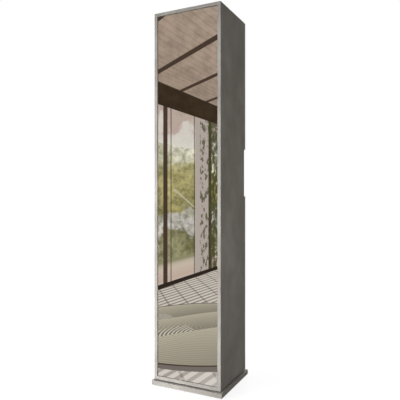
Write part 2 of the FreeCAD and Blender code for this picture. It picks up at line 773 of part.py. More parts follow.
def adjustable_shelf():
    body = new_body("adjustable_shelf")
    block(body, "Z", "loose_shelf_bottom", "loose_shelf_top",
          "-side_inside + shelf_play", "backing_back + shelf_play",
          "side_inside - shelf_play", "shelf_core")


def shelf_pins():
    body = new_body("shelf_pins")
    centres = [("front_row", "pin_height"), ("rear_row", "pin_height")]
    rod(body, "X", "-side_inside - pin_seat", "-side_inside - pin_seat + pin_length",
        centres, "pin_radius")
    rod(body, "X", "side_inside + pin_seat - pin_length", "side_inside + pin_seat",
        centres, "pin_radius")


# ---------------------------------------------------------------------------------------------
# Board joints
# ---------------------------------------------------------------------------------------------
def both_ends(body, low, high, centres, radius):
    """Rods across both joints of the cross boards, mirrored about the middle of the cabinet."""
    rod(body, "X", f"-({high})", f"-({low})", centres, radius)
    rod(body, "X", low, high, centres, radius)


def dowels_and_cams():
    dowels = backing_rows()
    cams = []
    for bottom, front, rear in CROSS_BOARDS.values():
        more, cam = joint_rows(bottom, front, rear)
        dowels += more
        cams.append((bottom, cam))
    body = new_body("dowels")
    both_ends(body, "side_inside + dowel_in_side - dowel_length", "side_inside + dowel_in_side",
              dowels, "dowel_radius")
    body = new_body("cam_bolts")
    both_ends(body, "side_inside - cam_setting + cam_radius", "side_inside + bolt_seat",
              [cam for _, cam in cams], "bolt_radius")
    body = new_body("cam_discs")
    for bottom, cam in cams:
        rod(body, "Z", bottom, f"{bottom} + cam_depth", cam_centres(cam), "cam_radius")


# ---------------------------------------------------------------------------------------------
# Outer ring of the bearing and its bolts
# ---------------------------------------------------------------------------------------------
def bearing_outer_ring():
    body = new_body("bearing_outer_ring")
    revolve(body, "Revolution", lambda sketch: rectangle(
        sketch, "outer_ring_inside", "outer_ring_bottom", "outer_ring_outside", "cabinet_floor"))
    revolve(body, "Groove", lambda sketch: circle(
        sketch, "ball_circle", "ball_height", "groove_radius"))
    hole = drill(body, "Z", "outer_ring_bottom", "cabinet_floor",
                 ring_places("outer_screw_circle"), "cabinet_bolt_radius + fit")
    around(body, [hole], "screw_count")


def bearing_cabinet_bolts():
    body = new_body("bearing_cabinet_bolts")
    places = ring_places("outer_screw_circle")
    shank = rod(body, "Z", "outer_ring_bottom + fit", "inside_floor", places, "cabinet_bolt_radius")
    head = rod(body, "Z", "inside_floor", "inside_floor + cabinet_bolt_head_height",
               places, "cabinet_bolt_head")
    around(body, [shank, head], "screw_count")


# ---------------------------------------------------------------------------------------------
# Coat hooks
# ---------------------------------------------------------------------------------------------
HOOK_SIDES = (-1, 1)


def hook_screw_centres():
    return [(f"{side} * hook_spacing / 2", f"hook_middle + {end} * hook_screw_offset")
            for side in HOOK_SIDES for end in (-1, 1)]


def hook_rod(body, across, along, rise):
    """A rod that stands out from the plate, bends up and ends upright in a round knob."""
    root, elbow = "hook_face - hook_plate_thickness / 2", "hook_face + hook_reach"
    bend = value("hook_bend")
    start = Vector(value(root), value(along), 0)
    corner = Vector(value(elbow), value(along), 0)
    path = new_sketch(body, "X", across)
    path.addGeometry(Part.LineSegment(start, corner), False)
    whole = Part.Circle(corner + Vector(0, bend, 0), Vector(0, 0, 1), bend)
    path.addGeometry(Part.ArcOfCircle(whole, -math.pi / 2, 0), False)
    upright = corner + Vector(bend, bend, 0)
    path.addGeometry(Part.LineSegment(upright, upright + Vector(0, value(rise), 0)), False)
    path.addConstraint(Sketcher.Constraint("Tangent", 0, 2, 1, 1))
    path.addConstraint(Sketcher.Constraint("Tangent", 1, 2, 2, 1))
    path.addConstraint(Sketcher.Constraint("Horizontal", 0))
    path.addConstraint(Sketcher.Constraint("Vertical", 2))
    bind(path, "DistanceX", 0, 1, root)
    bind(path, "DistanceY", 0, 1, along)
    bind(path, "DistanceX", 0, 2, elbow)
    rule = path.addConstraint(Sketcher.Constraint("Radius", 1, bend))
    path.setExpression(f"Constraints[{rule}]", full("hook_bend"))
    bind(path, "DistanceY", 2, 2, f"{along} + hook_bend + {rise}")
    profile = new_sketch(body, "Y", root)
    circle(profile, across, along, "hook_rod")
    pipe = body.newObject("PartDesign::AdditivePipe", "Rod")
    pipe.Profile = profile
    pipe.Spine = (path, [])
    knob = body.newObject("PartDesign::AdditiveSphere", "Knob")
    knob.setExpression("Radius", full("hook_knob"))
    for direction, place in (("x", across), ("y", f"{elbow} + hook_bend"),
                             ("z", f"{along} + hook_bend + {rise}")):
        knob.setExpression(f"Placement.Base.{direction}", full(place))
    body.Tip = knob


def coat_hooks():
    body = new_body("coat_hooks")
    for side in HOOK_SIDES:
        middle = f"{side} * hook_spacing / 2"
        rounded_block(body, "Y", "backing_back", "hook_face",
                      f"{middle} - hook_plate_width / 2", "hook_middle - hook_plate_height / 2",
                      f"{middle} + hook_plate_width / 2", "hook_middle + hook_plate_height / 2",
                      "hook_plate_corner")
    drill(body, "Y", "backing_back", "hook_face", hook_screw_centres(), "hook_screw_radius + fit")
    for side in HOOK_SIDES:
        middle = f"{side} * hook_spacing / 2"
        hook_rod(body, middle, "upper_rod", "upper_rod_rise")
        hook_rod(body, middle, "lower_rod", "lower_rod_rise")


def hook_screws():
    body = new_body("hook_screws")
    rod(body, "Y", "hook_face - hook_screw_length", "hook_face",
        hook_screw_centres(), "hook_screw_radius")
    rod(body, "Y", "hook_face", "hook_face + hook_screw_head_height",
        hook_screw_centres(), "hook_screw_head")


# ---------------------------------------------------------------------------------------------
# Concealed hinges
# ---------------------------------------------------------------------------------------------
def bar(body, start, end, half, low, high):
    """A straight bar between two points of the plane across the pins."""
    (x0, y0), (x1, y1) = start, end
    span = f"hypot(({x1}) - ({x0}); ({y1}) - ({y0}))"
    aside_x = f"({half}) * (({y0}) - ({y1})) / {span}"
    aside_y = f"({half}) * (({x1}) - ({x0})) / {span}"
    corners = [(f"({x}) + {sign} * {aside_x}", f"({y}) + {sign} * {aside_y}")
               for (x, y), sign in ((start, 1), (end, 1), (end, -1), (start, -1))]
    return pad(body, "Z", low, high, lambda sketch: polygon(sketch, corners))


def plate_levels(low, high):
    """The two levels of a pair of plates on both sides of the lowest hinge's middle."""
    return [(f"first_hinge + {low}", f"first_hinge + {high}"),
            (f"first_hinge - ({high})", f"first_hinge - ({low})")]


def arm_screw_centres():
    """Fixing and adjusting screw of the lowest hinge's arm, as (y, z)."""
    return [("plate_y - plate_length + arm_screw_inset", "first_hinge"),
            ("plate_y - arm_screw_inset", "first_hinge")]


def hinge_plates():
    body = new_body("hinge_plates")
    wings = rounded_block(body, "X", "hinge_face", "hinge_face + wing_thickness",
                          "rear_row - wing_width / 2", "first_hinge - wing_half_height",
                          "rear_row + wing_width / 2", "first_hinge + wing_half_height",
                          "wing_corner")
    rail = block(body, "X", "hinge_face", "rail_face", "plate_y - plate_length",
                 "first_hinge - rail_half", "plate_y", "first_hinge + rail_half")
    holes = drill(body, "X", "hinge_face", "hinge_face + wing_thickness",
                  [("rear_row", f"first_hinge + {end} * wing_screw_offset") for end in (-1, 1)],
                  "plate_screw_radius + fit")
    arm_holes = drill(body, "X", "arm_face - arm_screw_length - fit", "rail_face",
                      arm_screw_centres(), "arm_screw_radius + fit")
    every_hinge(body, [wings, rail, holes, arm_holes])


def hinge_arms():
    body = new_body("hinge_arms")
    features = [rounded_block(body, "X", "rail_face", "arm_face", "plate_y - plate_length",
                              "first_hinge - arm_half", "plate_y", "first_hinge + arm_half",
                              "arm_corner"),
                drill(body, "X", "rail_face", "arm_face", arm_screw_centres(),
                      "arm_screw_radius + fit")]
    root = ("(rail_face + arm_face) / 2", "plate_y - nose_half")
    tip, nose = ("arm_x", "arm_y"), ("nose_x", "nose_y")
    for low, high in plate_levels("nose_low", "nose_high"):
        features.append(bar(body, root, tip, "nose_half", low, high))
        features.append(bar(body, tip, nose, "nose_half", low, high))
        features.append(rod(body, "Z", low, high, [tip], "nose_half"))
        features.append(rod(body, "Z", low, high, [nose], "nose_half"))
    features.append(drill(body, "Z", "first_hinge - nose_high", "first_hinge + nose_high",
                          [tip, nose], "link_pin_radius + fit"))
    every_hinge(body, features)


def hinge_plate_screws():
    body = new_body("hinge_plate_screws")
    places = [("rear_row", f"first_hinge + {end} * wing_screw_offset") for end in (-1, 1)]
    face = "hinge_face + wing_thickness"
    shanks = rod(body, "X", f"{face} - plate_screw_length", face, places, "plate_screw_radius")
    heads = rod(body, "X", face, f"{face} + plate_screw_head_height", places, "plate_screw_head")
    every_hinge(body, [shanks, heads])


def hinge_arm_screws():
    body = new_body("hinge_arm_screws")
    shanks = rod(body, "X", "arm_face - arm_screw_length", "arm_face",
                 arm_screw_centres(), "arm_screw_radius")
    heads = rod(body, "X", "arm_face", "arm_face + arm_screw_head_height",
                arm_screw_centres(), "arm_screw_head")
    every_hinge(body, [shanks, heads])


def hinge_arm_pins():
    body = new_body("hinge_arm_pins")
    long_pin = rod(body, "Z", "first_hinge - link_high", "first_hinge + link_high",
                   [("arm_x", "arm_y")], "link_pin_radius")
    short_pin = rod(body, "Z", "first_hinge - nose_high", "first_hinge + nose_high",
                    [("nose_x", "nose_y")], "link_pin_radius")
    every_hinge(body, [long_pin, short_pin])


def hinge_outer_links():
    body = new_body("hinge_outer_links")
    tip, elbow, cup = (("arm_x", "arm_y"), ("outer_elbow_x", "outer_elbow_y"),
                       ("outer_cup_x", "outer_cup_y"))
    features = []
    for low, high in plate_levels("link_low", "link_high"):
        features.append(bar(body, tip, elbow, "outer_link_half", low, high))
        features.append(bar(body, elbow, cup, "outer_link_half", low, high))
        features.append(rod(body, "Z", low, high, [elbow], "outer_link_half"))
        features.append(rod(body, "Z", low, high, [tip, cup], "eye_radius"))
    features.append(drill(body, "Z", "first_hinge - link_high", "first_hinge + link_high",
                          [tip, cup], "link_pin_radius + link_pin_play"))
    every_hinge(body, features)


def hinge_inner_links():
    body = new_body("hinge_inner_links")
    low, high = "first_hinge - inner_link_half_height", "first_hinge + inner_link_half_height"
    nose, elbow, cup = (("nose_x", "nose_y"), ("inner_elbow_x", "inner_elbow_y"),
                        ("inner_cup_x", "inner_cup_y"))
    features = [bar(body, nose, elbow, "inner_link_half", low, high),
                bar(body, elbow, cup, "inner_link_half", low, high),
                rod(body, "Z", low, high, [elbow], "inner_link_half"),
                rod(body, "Z", low, high, [nose], "eye_radius"),
                rod(body, "Z", low, high, [cup], "open_eye_radius"),
                drill(body, "Z", low, high, [nose], "link_pin_radius + link_pin_play"),
                drill(body, "Z", low, high, [cup], "link_pin_radius + open_eye_play")]
    every_hinge(body, features)


# ---------------------------------------------------------------------------------------------
# Door with its cups
# ---------------------------------------------------------------------------------------------
def cup_screw_centres(hinge):
    return [("cup_x", f"{hinge} + {end} * cup_screw_offset") for end in (-1, 1)]


def door_outline(sketch, inset):
    """The door's outline with its finger notch, drawn in by the inset all round."""
    left, right = f"-side_outside + {inset}", f"side_outside - {inset}"
    low, high = f"door_bottom + {inset}", f"door_top - {inset}"
    notch = f"side_outside - grip_depth - {inset}"
    notch_low, notch_high = f"grip_bottom - {inset}", f"grip_top + {inset}"
    corner = f"grip_corner + {inset}"
    outline(sketch, [(left, low, None), (right, low, None), (right, notch_low, None),
                     (notch, notch_low, corner), (notch, notch_high, corner),
                     (right, notch_high, None), (right, high, None), (left, high, None)])


def door_edge_band():
    body = new_body("door_edge_band")
    pad(body, "Y", "door_inside", "door_outside", lambda sketch: door_outline(sketch, NOTHING))
    cut(body, "Y", "door_inside", "door_outside", lambda sketch: door_outline(sketch, "edge_band"))


def door_panel():
    body = new_body("door_panel")
    pad(body, "Y", "door_inside", "door_outside", lambda sketch: door_outline(sketch, "edge_band"))
    for number in range(count("hinge_count")):
        hinge = f"first_hinge + {number} * hinge_pitch"
        drill(body, "Y", "door_inside", "door_inside + cup_depth + fit",
              [("cup_x", hinge)], "cup_radius + fit")
        drill(body, "Y", "door_inside", "door_inside + plate_screw_length - flange_thickness + fit",
              cup_screw_centres(hinge), "plate_screw_radius + fit")


def hinge_cups():
    body = new_body("hinge_cups")
    flange = "door_inside - flange_thickness"
    bottom = "door_inside + cup_depth"
    centre = [("cup_x", "first_hinge")]
    disc = rod(body, "Y", "door_inside", bottom, centre, "cup_radius")
    plate = rounded_block(body, "Y", flange, "door_inside",
                          "flange_left", "first_hinge - flange_half_length",
                          "flange_right", "first_hinge + flange_half_length", "flange_corner")
    cavity = drill(body, "Y", flange, f"{bottom} - cup_wall", centre, "cup_radius - cup_wall")
    screws = drill(body, "Y", flange, "door_inside", cup_screw_centres("first_hinge"),
                   "plate_screw_radius + fit")
    pins = drill(body, "Z", "first_hinge - cup_radius", "first_hinge + cup_radius",
                 [("outer_cup_x", "outer_cup_y"), ("inner_cup_x", "inner_cup_y")],
                 "link_pin_radius + fit")
    every_hinge(body, [disc, plate, cavity, screws, pins])


def hinge_cup_screws():
    body = new_body("hinge_cup_screws")
    face = "door_inside - flange_thickness"
    places = cup_screw_centres("first_hinge")
    shanks = rod(body, "Y", face, f"{face} + plate_screw_length", places, "plate_screw_radius")
    heads = rod(body, "Y", f"{face} - plate_screw_head_height", face, places, "plate_screw_head")
    every_hinge(body, [shanks, heads])


def hinge_cup_pins():
    body = new_body("hinge_cup_pins")
    aside = "cup_setting - outer_cup_right + link_pin_radius"
    reach = f"sqrt(pow(cup_radius - cup_wall / 2; 2) - pow({aside}; 2))"
    pins = rod(body, "Z", f"first_hinge - {reach}", f"first_hinge + {reach}",
               [("outer_cup_x", "outer_cup_y"), ("inner_cup_x", "inner_cup_y")],
               "link_pin_radius")
    every_hinge(body, [pins])


def door_bumpers():
    body = new_body("door_bumpers")
    middle = "(side_outside + side_inside) / 2"
    places = [(middle, "door_bottom + hinge_inset"), (middle, "door_top - hinge_inset")]
    rod(body, "Y", "rear_edge", "door_inside - bumper_play", places, "bumper_radius")


# ---------------------------------------------------------------------------------------------
# Build, check and write
# ---------------------------------------------------------------------------------------------
base_board()
base_edge_bands()
floor_glides()
bearing_inner_ring()
bearing_base_screws()
ball_cage()
bearing_balls()
bearing_outer_ring()
bearing_cabinet_bolts()
for cross_label in CROSS_BOARDS:
    cross_board(cross_label)
side_panel("side_panel_left", -1)
side_panel("side_panel_right", 1)
panel_edge_bands()
mirror_backing_panel()
mirror_glass()
mirror_tape()
adjustable_shelf()
shelf_edge_bands()
shelf_pins()
dowels_and_cams()
coat_hooks()
hook_screws()
hinge_plates()
hinge_arms()
hinge_plate_screws()
hinge_arm_screws()
hinge_arm_pins()
hinge_outer_links()
hinge_inner_links()
door_panel()
door_edge_band()
hinge_cups()
hinge_cup_screws()
hinge_cup_pins()
door_bumpers()
doc.recompute()

for item in doc.Objects:
    if "Invalid" in item.State or "Error" in item.State:
        raise RuntimeError(f"{item.Name} of {item.Label} failed: {item.State}")
    if item.TypeId in ("PartDesign::Pocket", "PartDesign::Groove"):
        removed = item.BaseFeature.Shape.Volume - item.Shape.Volume
        if removed < LEAST_CUT:
            raise RuntimeError(f"{item.Name} cuts nothing")

os.makedirs("parts", exist_ok=True)
for part in parts:
    if part.Shape.isNull() or not part.Shape.isValid() or not part.Shape.Solids:
        raise RuntimeError(f"{part.Label} has no valid solid")
    part.Shape.exportStep(f"parts/{part.Label}.step")
    box = part.Shape.BoundBox
    print(f"{part.Label:24s} {len(part.Shape.Solids):3d} solids, {part.Shape.Volume / 1000:10.2f} cm3, "
          f"z {box.ZMin:8.2f} to {box.ZMax:8.2f}")
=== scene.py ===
# %% [markdown]
# # A revolving wardrobe cabinet with a mirror front
# The cabinet is a tall box of cement-look melamine boards. Its front is one full-height mirror, its
# back is a door, and the whole box turns on a thin ball bearing over a square base board.
# The boards, the bearing and the hinges could all be modelled again here, but their fit and their
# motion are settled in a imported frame. So this script only adds what the eye needs on top of it:
# finishes, the finely shaped small fittings, light and a camera.

# %% Load the frame
import json
import math

import bmesh
import bpy
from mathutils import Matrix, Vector


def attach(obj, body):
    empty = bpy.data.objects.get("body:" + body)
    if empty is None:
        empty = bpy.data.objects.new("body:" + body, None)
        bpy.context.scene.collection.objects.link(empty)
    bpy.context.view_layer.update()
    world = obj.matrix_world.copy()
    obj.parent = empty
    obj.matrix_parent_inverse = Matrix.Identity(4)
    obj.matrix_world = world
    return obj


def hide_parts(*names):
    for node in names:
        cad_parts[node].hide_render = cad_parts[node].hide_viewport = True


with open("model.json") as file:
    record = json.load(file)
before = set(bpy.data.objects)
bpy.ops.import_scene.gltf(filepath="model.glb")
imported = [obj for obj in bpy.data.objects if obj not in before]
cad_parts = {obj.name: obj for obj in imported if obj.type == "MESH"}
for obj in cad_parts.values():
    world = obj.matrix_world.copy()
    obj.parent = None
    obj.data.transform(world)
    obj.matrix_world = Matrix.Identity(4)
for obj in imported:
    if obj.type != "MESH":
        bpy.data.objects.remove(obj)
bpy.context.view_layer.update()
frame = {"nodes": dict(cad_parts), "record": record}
nodes = frame["nodes"]

# %% [markdown]
# ## Starting a finish
# Every finish here is a small network of nodes. An image could be wrapped round each piece instead,
# but a picture has edges and one size, and a pattern that is worked out has neither.
# Object coordinates are metres in the frame of the cabinet, so one scale fits all the boards, and the
# pattern stays on a board when it turns.

# %% An empty finish and a noise
MM = 0.001
EVEN = (1.0, 1.0, 1.0)


def new_material(name):
    """An empty node material with its tree, its shader and object coordinates."""
    material = bpy.data.materials.new(name)
    material.use_nodes = True
    tree = material.node_tree
    shader = tree.nodes["Principled BSDF"]
    place = tree.nodes.new("ShaderNodeTexCoord")
    return material, tree, shader, place.outputs["Object"]


def noise(tree, place, scale, detail=4.0, roughness=0.55, stretch=EVEN):
    """A noise over the place; for object coordinates, scale is its number of cells per metre."""
    mapping = tree.nodes.new("ShaderNodeMapping")
    mapping.inputs["Scale"].default_value = stretch
    texture = tree.nodes.new("ShaderNodeTexNoise")
    texture.inputs["Scale"].default_value = scale
    texture.inputs["Detail"].default_value = detail
    texture.inputs["Roughness"].default_value = roughness
    tree.links.new(place, mapping.inputs["Vector"])
    tree.links.new(mapping.outputs["Vector"], texture.inputs["Vector"])
    return texture.outputs["Fac"]


print("one millimetre is", MM, "of the scene's metres")

# %% [markdown]
# ## Screen colours
# Colours are written as the 0 to 255 values of a screen, because those are easy to picture. They could
# be written as the linear values that shaders take, but nobody sees a colour in those. So they are
# changed over with the standard screen curve.

# %% From screen colours to linear ones
def from_srgb(red, green, blue):
    """A colour given as 0-255 screen values, as the linear values that shaders take."""
    def linear(value):
        value /= 255
        return value / 12.92 if value <= 0.04045 else ((value + 0.055) / 1.055) ** 2.4
    return tuple(linear(value) for value in (red, green, blue))


def grey(level):
    return (level, level, level)


print("middle grey of a screen as a shader takes it:", from_srgb(128, 128, 128))

# %% [markdown]
# ## Ramps and blends
# A noise gives numbers between 0 and 1. A ramp turns them into colours, and a blend lays one colour
# pattern over another. Laid over plainly, the upper one would cover the lower. In multiply mode it
# only makes the lower one darker or paler.

# %% Colours from patterns
def ramp(tree, factor, stops):
    """A colour ramp from (position, colour) pairs."""
    node = tree.nodes.new("ShaderNodeValToRGB")
    elements = node.color_ramp.elements
    while len(elements) < len(stops):
        elements.new(0.5)
    for element, (position, colour) in zip(elements, stops):
        element.position = position
        element.color = (*colour, 1.0)
    tree.links.new(factor, node.inputs["Fac"])
    return node.outputs["Color"]


def blend_colours(tree, factor, first, second, mode="MIX"):
    """The second colour over the first; each input is a socket or a plain value."""
    node = tree.nodes.new("ShaderNodeMix")
    node.data_type = "RGBA"
    node.blend_type = mode
    for socket, source in ((node.inputs[0], factor), (node.inputs[6], first),
                           (node.inputs[7], second)):
        if isinstance(source, bpy.types.NodeSocket):
            tree.links.new(source, socket)
        else:
            socket.default_value = source
    return node.outputs[2]


def shaded(tree, pattern, stops, share, colour):
    """The colour multiplied by a share of what a pattern's ramp gives."""
    return blend_colours(tree, share, colour, ramp(tree, pattern, stops), "MULTIPLY")


print("patterns become colours by: ramp, blend_colours, shaded")

# %% [markdown]
# ## Roughness and relief
# Nearly all values of a noise lie between 0.3 and 0.7. That band is stretched over the range of
# roughness that a finish needs. A number that is the same all over a piece needs no node: it goes
# straight on the shader's own socket.
# Fine relief, such as grit, is far too small to be cut into the mesh, so it only tilts the light.

# %% Roughness and bump helpers
NOISE_LOW, NOISE_MIDDLE, NOISE_HIGH = 0.3, 0.5, 0.7


def spread(tree, factor, low, high):
    """The usual band of a noise stretched over low to high."""
    node = tree.nodes.new("ShaderNodeMapRange")
    node.inputs["From Min"].default_value = NOISE_LOW
    node.inputs["From Max"].default_value = NOISE_HIGH
    node.inputs["To Min"].default_value = low
    node.inputs["To Max"].default_value = high
    tree.links.new(factor, node.inputs["Value"])
    return node.outputs["Result"]


def add_bump(tree, shader, height, strength, distance):
    node = tree.nodes.new("ShaderNodeBump")
    node.inputs["Strength"].default_value = strength
    node.inputs["Distance"].default_value = distance
    tree.links.new(height, node.inputs["Height"])
    tree.links.new(node.outputs["Normal"], shader.inputs["Normal"])


print("noise band used for roughness:", NOISE_LOW, "to", NOISE_HIGH)

# %% [markdown]
# ## Spots of the cement sheet
# The boards are particle board under a printed melamine skin that imitates smooth cement. Every board
# is sawn from another spot of the sheet, so the same print never meets itself at a corner.
# Ten different patterns could be tuned by hand. It is enough to read one pattern from another spot and
# in another direction for each board. The trowel marks of real cement are wiped, so the place is also
# pushed about by a slow noise before the pattern is read.

# %% Moving and bending the place
WIPES_PER_METRE = 4.0
WIPE_DETAIL = 2.0
WIPE_REACH = 0.12


def moved(tree, place, shift, turn):
    """The place read from another spot and in another direction of the printed sheet."""
    mapping = tree.nodes.new("ShaderNodeMapping")
    mapping.inputs["Location"].default_value = shift
    mapping.inputs["Rotation"].default_value = turn
    tree.links.new(place, mapping.inputs["Vector"])
    return mapping.outputs["Vector"]


def wiped_place(tree, place):
    """The place pushed about, so that what is read there looks wiped by hand."""
    texture = tree.nodes.new("ShaderNodeTexNoise")
    texture.inputs["Scale"].default_value = WIPES_PER_METRE
    texture.inputs["Detail"].default_value = WIPE_DETAIL
    offset = tree.nodes.new("ShaderNodeVectorMath")
    offset.operation = "MULTIPLY_ADD"
    offset.inputs[1].default_value = (WIPE_REACH, WIPE_REACH, WIPE_REACH)
    tree.links.new(place, texture.inputs["Vector"])
    tree.links.new(texture.outputs["Color"], offset.inputs[0])
    tree.links.new(place, offset.inputs[2])
    return offset.outputs["Vector"]


print("trowel wipes are", 1 / WIPES_PER_METRE, "m long and reach", WIPE_REACH, "m")

# %% [markdown]
# ## Cement-look melamine
# The print has broad soft clouds, trowel sweeps inside them, a few small darker pores and a fine matt
# grit. One noise could be given all the detail at once, but then clouds and grit could not be set
# apart. So there are four, from coarse to fine, and each only shades what lies below it.

# %% Cement
# cells per metre, detail, roughness and stretch of each noise
CLOUDS = (3.2, 3.0, 0.5)
SWEEPS = (11.0, 5.0, 0.6, (1.0, 1.0, 0.8))
PORES = (95.0, 3.0, 0.6)
GRIT = (520.0, 2.0, 0.5)
# change of the tone in a dark and in a pale cloud
DARK_CLOUD, PALE_CLOUD = (-13, -13, -14), (12, 13, 12)
# how much of each finer pattern shows, and its shades
SWEEP_SHARE, SWEEP_SHADES = 0.8, [(0.28, grey(0.78)), (0.5, grey(1.0)), (0.72, grey(1.18))]
PORE_SHARE, PORE_SHADES = 0.5, [(0.27, grey(0.55)), (0.36, grey(1.0))]
GRIT_SHARE, GRIT_SHADES = 0.4, [(0.3, grey(0.8)), (0.5, grey(1.0)), (0.7, grey(1.12))]
CEMENT_ROUGHNESS = (0.52, 0.68)
CEMENT_SPECULAR = 0.35
GRIT_BUMP = (0.15, 0.12 * MM)  # strength and depth


def cement(name, tone, shift, turn=(0.0, 0.0, 0.0)):
    """Cement print round a mean sRGB tone, read from its own spot of the sheet."""
    material, tree, shader, place = new_material(name)
    place = moved(tree, place, shift, turn)
    wiped = wiped_place(tree, place)
    clouds = noise(tree, wiped, *CLOUDS)
    sweeps = noise(tree, wiped, *SWEEPS)
    pores = noise(tree, place, *PORES)
    grit = noise(tree, place, *GRIT)
    dark, pale = (from_srgb(*(part + change for part, change in zip(tone, cloud)))
                  for cloud in (DARK_CLOUD, PALE_CLOUD))
    colour = ramp(tree, clouds, [(NOISE_LOW, dark), (NOISE_MIDDLE, from_srgb(*tone)),
                                 (NOISE_HIGH, pale)])
    colour = shaded(tree, sweeps, SWEEP_SHADES, SWEEP_SHARE, colour)
    colour = shaded(tree, pores, PORE_SHADES, PORE_SHARE, colour)
    colour = shaded(tree, grit, GRIT_SHADES, GRIT_SHARE, colour)
    tree.links.new(colour, shader.inputs["Base Color"])
    tree.links.new(spread(tree, sweeps, *CEMENT_ROUGHNESS), shader.inputs["Roughness"])
    shader.inputs["Specular IOR Level"].default_value = CEMENT_SPECULAR
    add_bump(tree, shader, grit, *GRIT_BUMP)
    return material


print("grains of grit per metre:", GRIT[0])

# %% [markdown]
# ## One finish for each board
# All ten boards have the same tone, as they come from one stack. One shared finish would do in a
# picture from afar, but where a shelf meets a side its clouds would run on through the joint.

# %% Board finishes
BOARD_TONE = (147, 144, 138)
NEXT_SPOT = (1.7, 0.9, 2.3)
NEXT_TURN = 0.35
boards = ["base_board", "bottom_panel", "top_panel", "lower_fixed_shelf", "hat_shelf",
          "side_panel_left", "side_panel_right", "mirror_backing_panel", "adjustable_shelf",
          "door_panel"]
board_finish = {}
for number, board in enumerate(boards):
    spot = tuple(step * number for step in NEXT_SPOT)
    board_finish[board] = cement("cement_" + board, BOARD_TONE, spot, (0.0, 0.0, NEXT_TURN * number))
print("board finishes:", sorted(board_finish))

# %% [markdown]
# ## Edge bands
# The cut edges are covered by bands of thin plastic that come on a roll, printed to match the board.
# The match is never exact: the band is a little paler.
# A strip could carry the board's own finish, but then the boards would look moulded in one piece.
# The bands therefore get a paler cement of their own.

# %% Banding
BAND_TONE = (166, 162, 156)
BAND_SPOT = (3.1, 5.2, 7.7)
banding = cement("cement_edge_band", BAND_TONE, BAND_SPOT)
print("band finish:", banding.name, BAND_TONE)

# %% [markdown]
# ## Mirror
# A household mirror is clear glass with silver behind it. Both could be modelled, but at this size
# nothing shows between them, so one polished metal surface with a faint greenish tint does both. A
# trace of haze in the roughness keeps it from looking computed.

# %% Silvered mirror
HAZE = (3.0, 2.0)  # cells per metre and detail
MIRROR_TINTS = [(NOISE_LOW, (0.80, 0.83, 0.82)), (NOISE_HIGH, (0.84, 0.86, 0.85))]
MIRROR_ROUGHNESS = (0.004, 0.012)


def silvered_mirror():
    material, tree, shader, place = new_material("silvered_mirror")
    haze = noise(tree, place, *HAZE)
    tree.links.new(ramp(tree, haze, MIRROR_TINTS), shader.inputs["Base Color"])
    tree.links.new(spread(tree, haze, *MIRROR_ROUGHNESS), shader.inputs["Roughness"])
    shader.inputs["Metallic"].default_value = 1.0
    return material


mirror_silver = silvered_mirror()
print("mirror finish:", mirror_silver.name)

# %% [markdown]
# ## Metals
# Behind the open door, the hinges, screws, cam discs and hooks come into sight: nickel plate, bright
# zinc, die-cast zinc and satin steel. The bearing's rings are aluminium and its balls polished steel.
# A plain metal colour looks like grey paint at their size. Their tone and roughness vary with a fine
# noise instead, as brushing and plating do. One recipe serves them all, with other numbers.

# %% Metal finishes
BRUSHED_UPRIGHT = (1.0, 1.0, 8.0)
METAL_SHADE = 0.8
BRUSHING_DETAIL = 3.0
BRUSHING_BUMP = (0.05, 0.05 * MM)  # strength and depth
# slot: name, colour, lowest and highest roughness, stretch of the brushing, its cells per metre
METALS = {
    "ring_aluminium": ("ring_aluminium_satin", (0.72, 0.73, 0.74), 0.3, 0.45, EVEN, 350.0),
    "ball_steel": ("ball_steel_polished", (0.78, 0.78, 0.8), 0.06, 0.12, EVEN, 200.0),
    "screw_zinc": ("screw_zinc_bright", (0.62, 0.62, 0.6), 0.22, 0.36, EVEN, 600.0),
    "cam_zinc": ("cam_zinc_cast", (0.5, 0.51, 0.52), 0.4, 0.55, EVEN, 500.0),
    "hinge_nickel": ("hinge_nickel_plated", (0.66, 0.64, 0.6), 0.14, 0.26, EVEN, 250.0),
    "hook_steel": ("hook_steel_satin", (0.56, 0.56, 0.56), 0.26, 0.4, BRUSHED_UPRIGHT, 300.0),
}


def metal(name, colour, rough_low, rough_high, stretch, grain):
    material, tree, shader, place = new_material(name)
    brushing = noise(tree, place, grain, BRUSHING_DETAIL, stretch=stretch)
    darker = tuple(part * METAL_SHADE for part in colour)
    tones = ramp(tree, brushing, [(NOISE_LOW, darker), (NOISE_HIGH, colour)])
    tree.links.new(tones, shader.inputs["Base Color"])
    tree.links.new(spread(tree, brushing, rough_low, rough_high), shader.inputs["Roughness"])
    shader.inputs["Metallic"].default_value = 1.0
    add_bump(tree, shader, brushing, *BRUSHING_BUMP)
    return material


finishes = {slot: metal(*recipe) for slot, recipe in METALS.items()}
print("metals:", sorted(finishes))

# %% [markdown]
# ## Plastics and rubber
# The glides, the cage of the balls, the tape behind the mirror and the bumpers are soft or moulded.
# They could be one flat colour. The mould leaves a fine texture, though, and that takes the hard edge
# off the highlights, which is how one tells plastic from paint.

# %% Plastic finishes
MOULDING = (900.0, 2.0)  # cells per metre and detail
PLASTIC_SHADE = 0.85
ROUGHNESS_PLAY = 0.06
MOULDING_BUMP = (0.1, 0.05 * MM)  # strength and depth
# slot: name, colour, roughness
PLASTICS = {
    "foam_tape": ("foam_tape_grey", from_srgb(205, 205, 198), 0.8),
    "cage_nylon": ("cage_nylon_natural", from_srgb(222, 216, 200), 0.5),
    "glide_plastic": ("glide_plastic_black", from_srgb(38, 38, 40), 0.55),
    "bumper_rubber": ("bumper_clear_soft", from_srgb(208, 208, 204), 0.35),
}


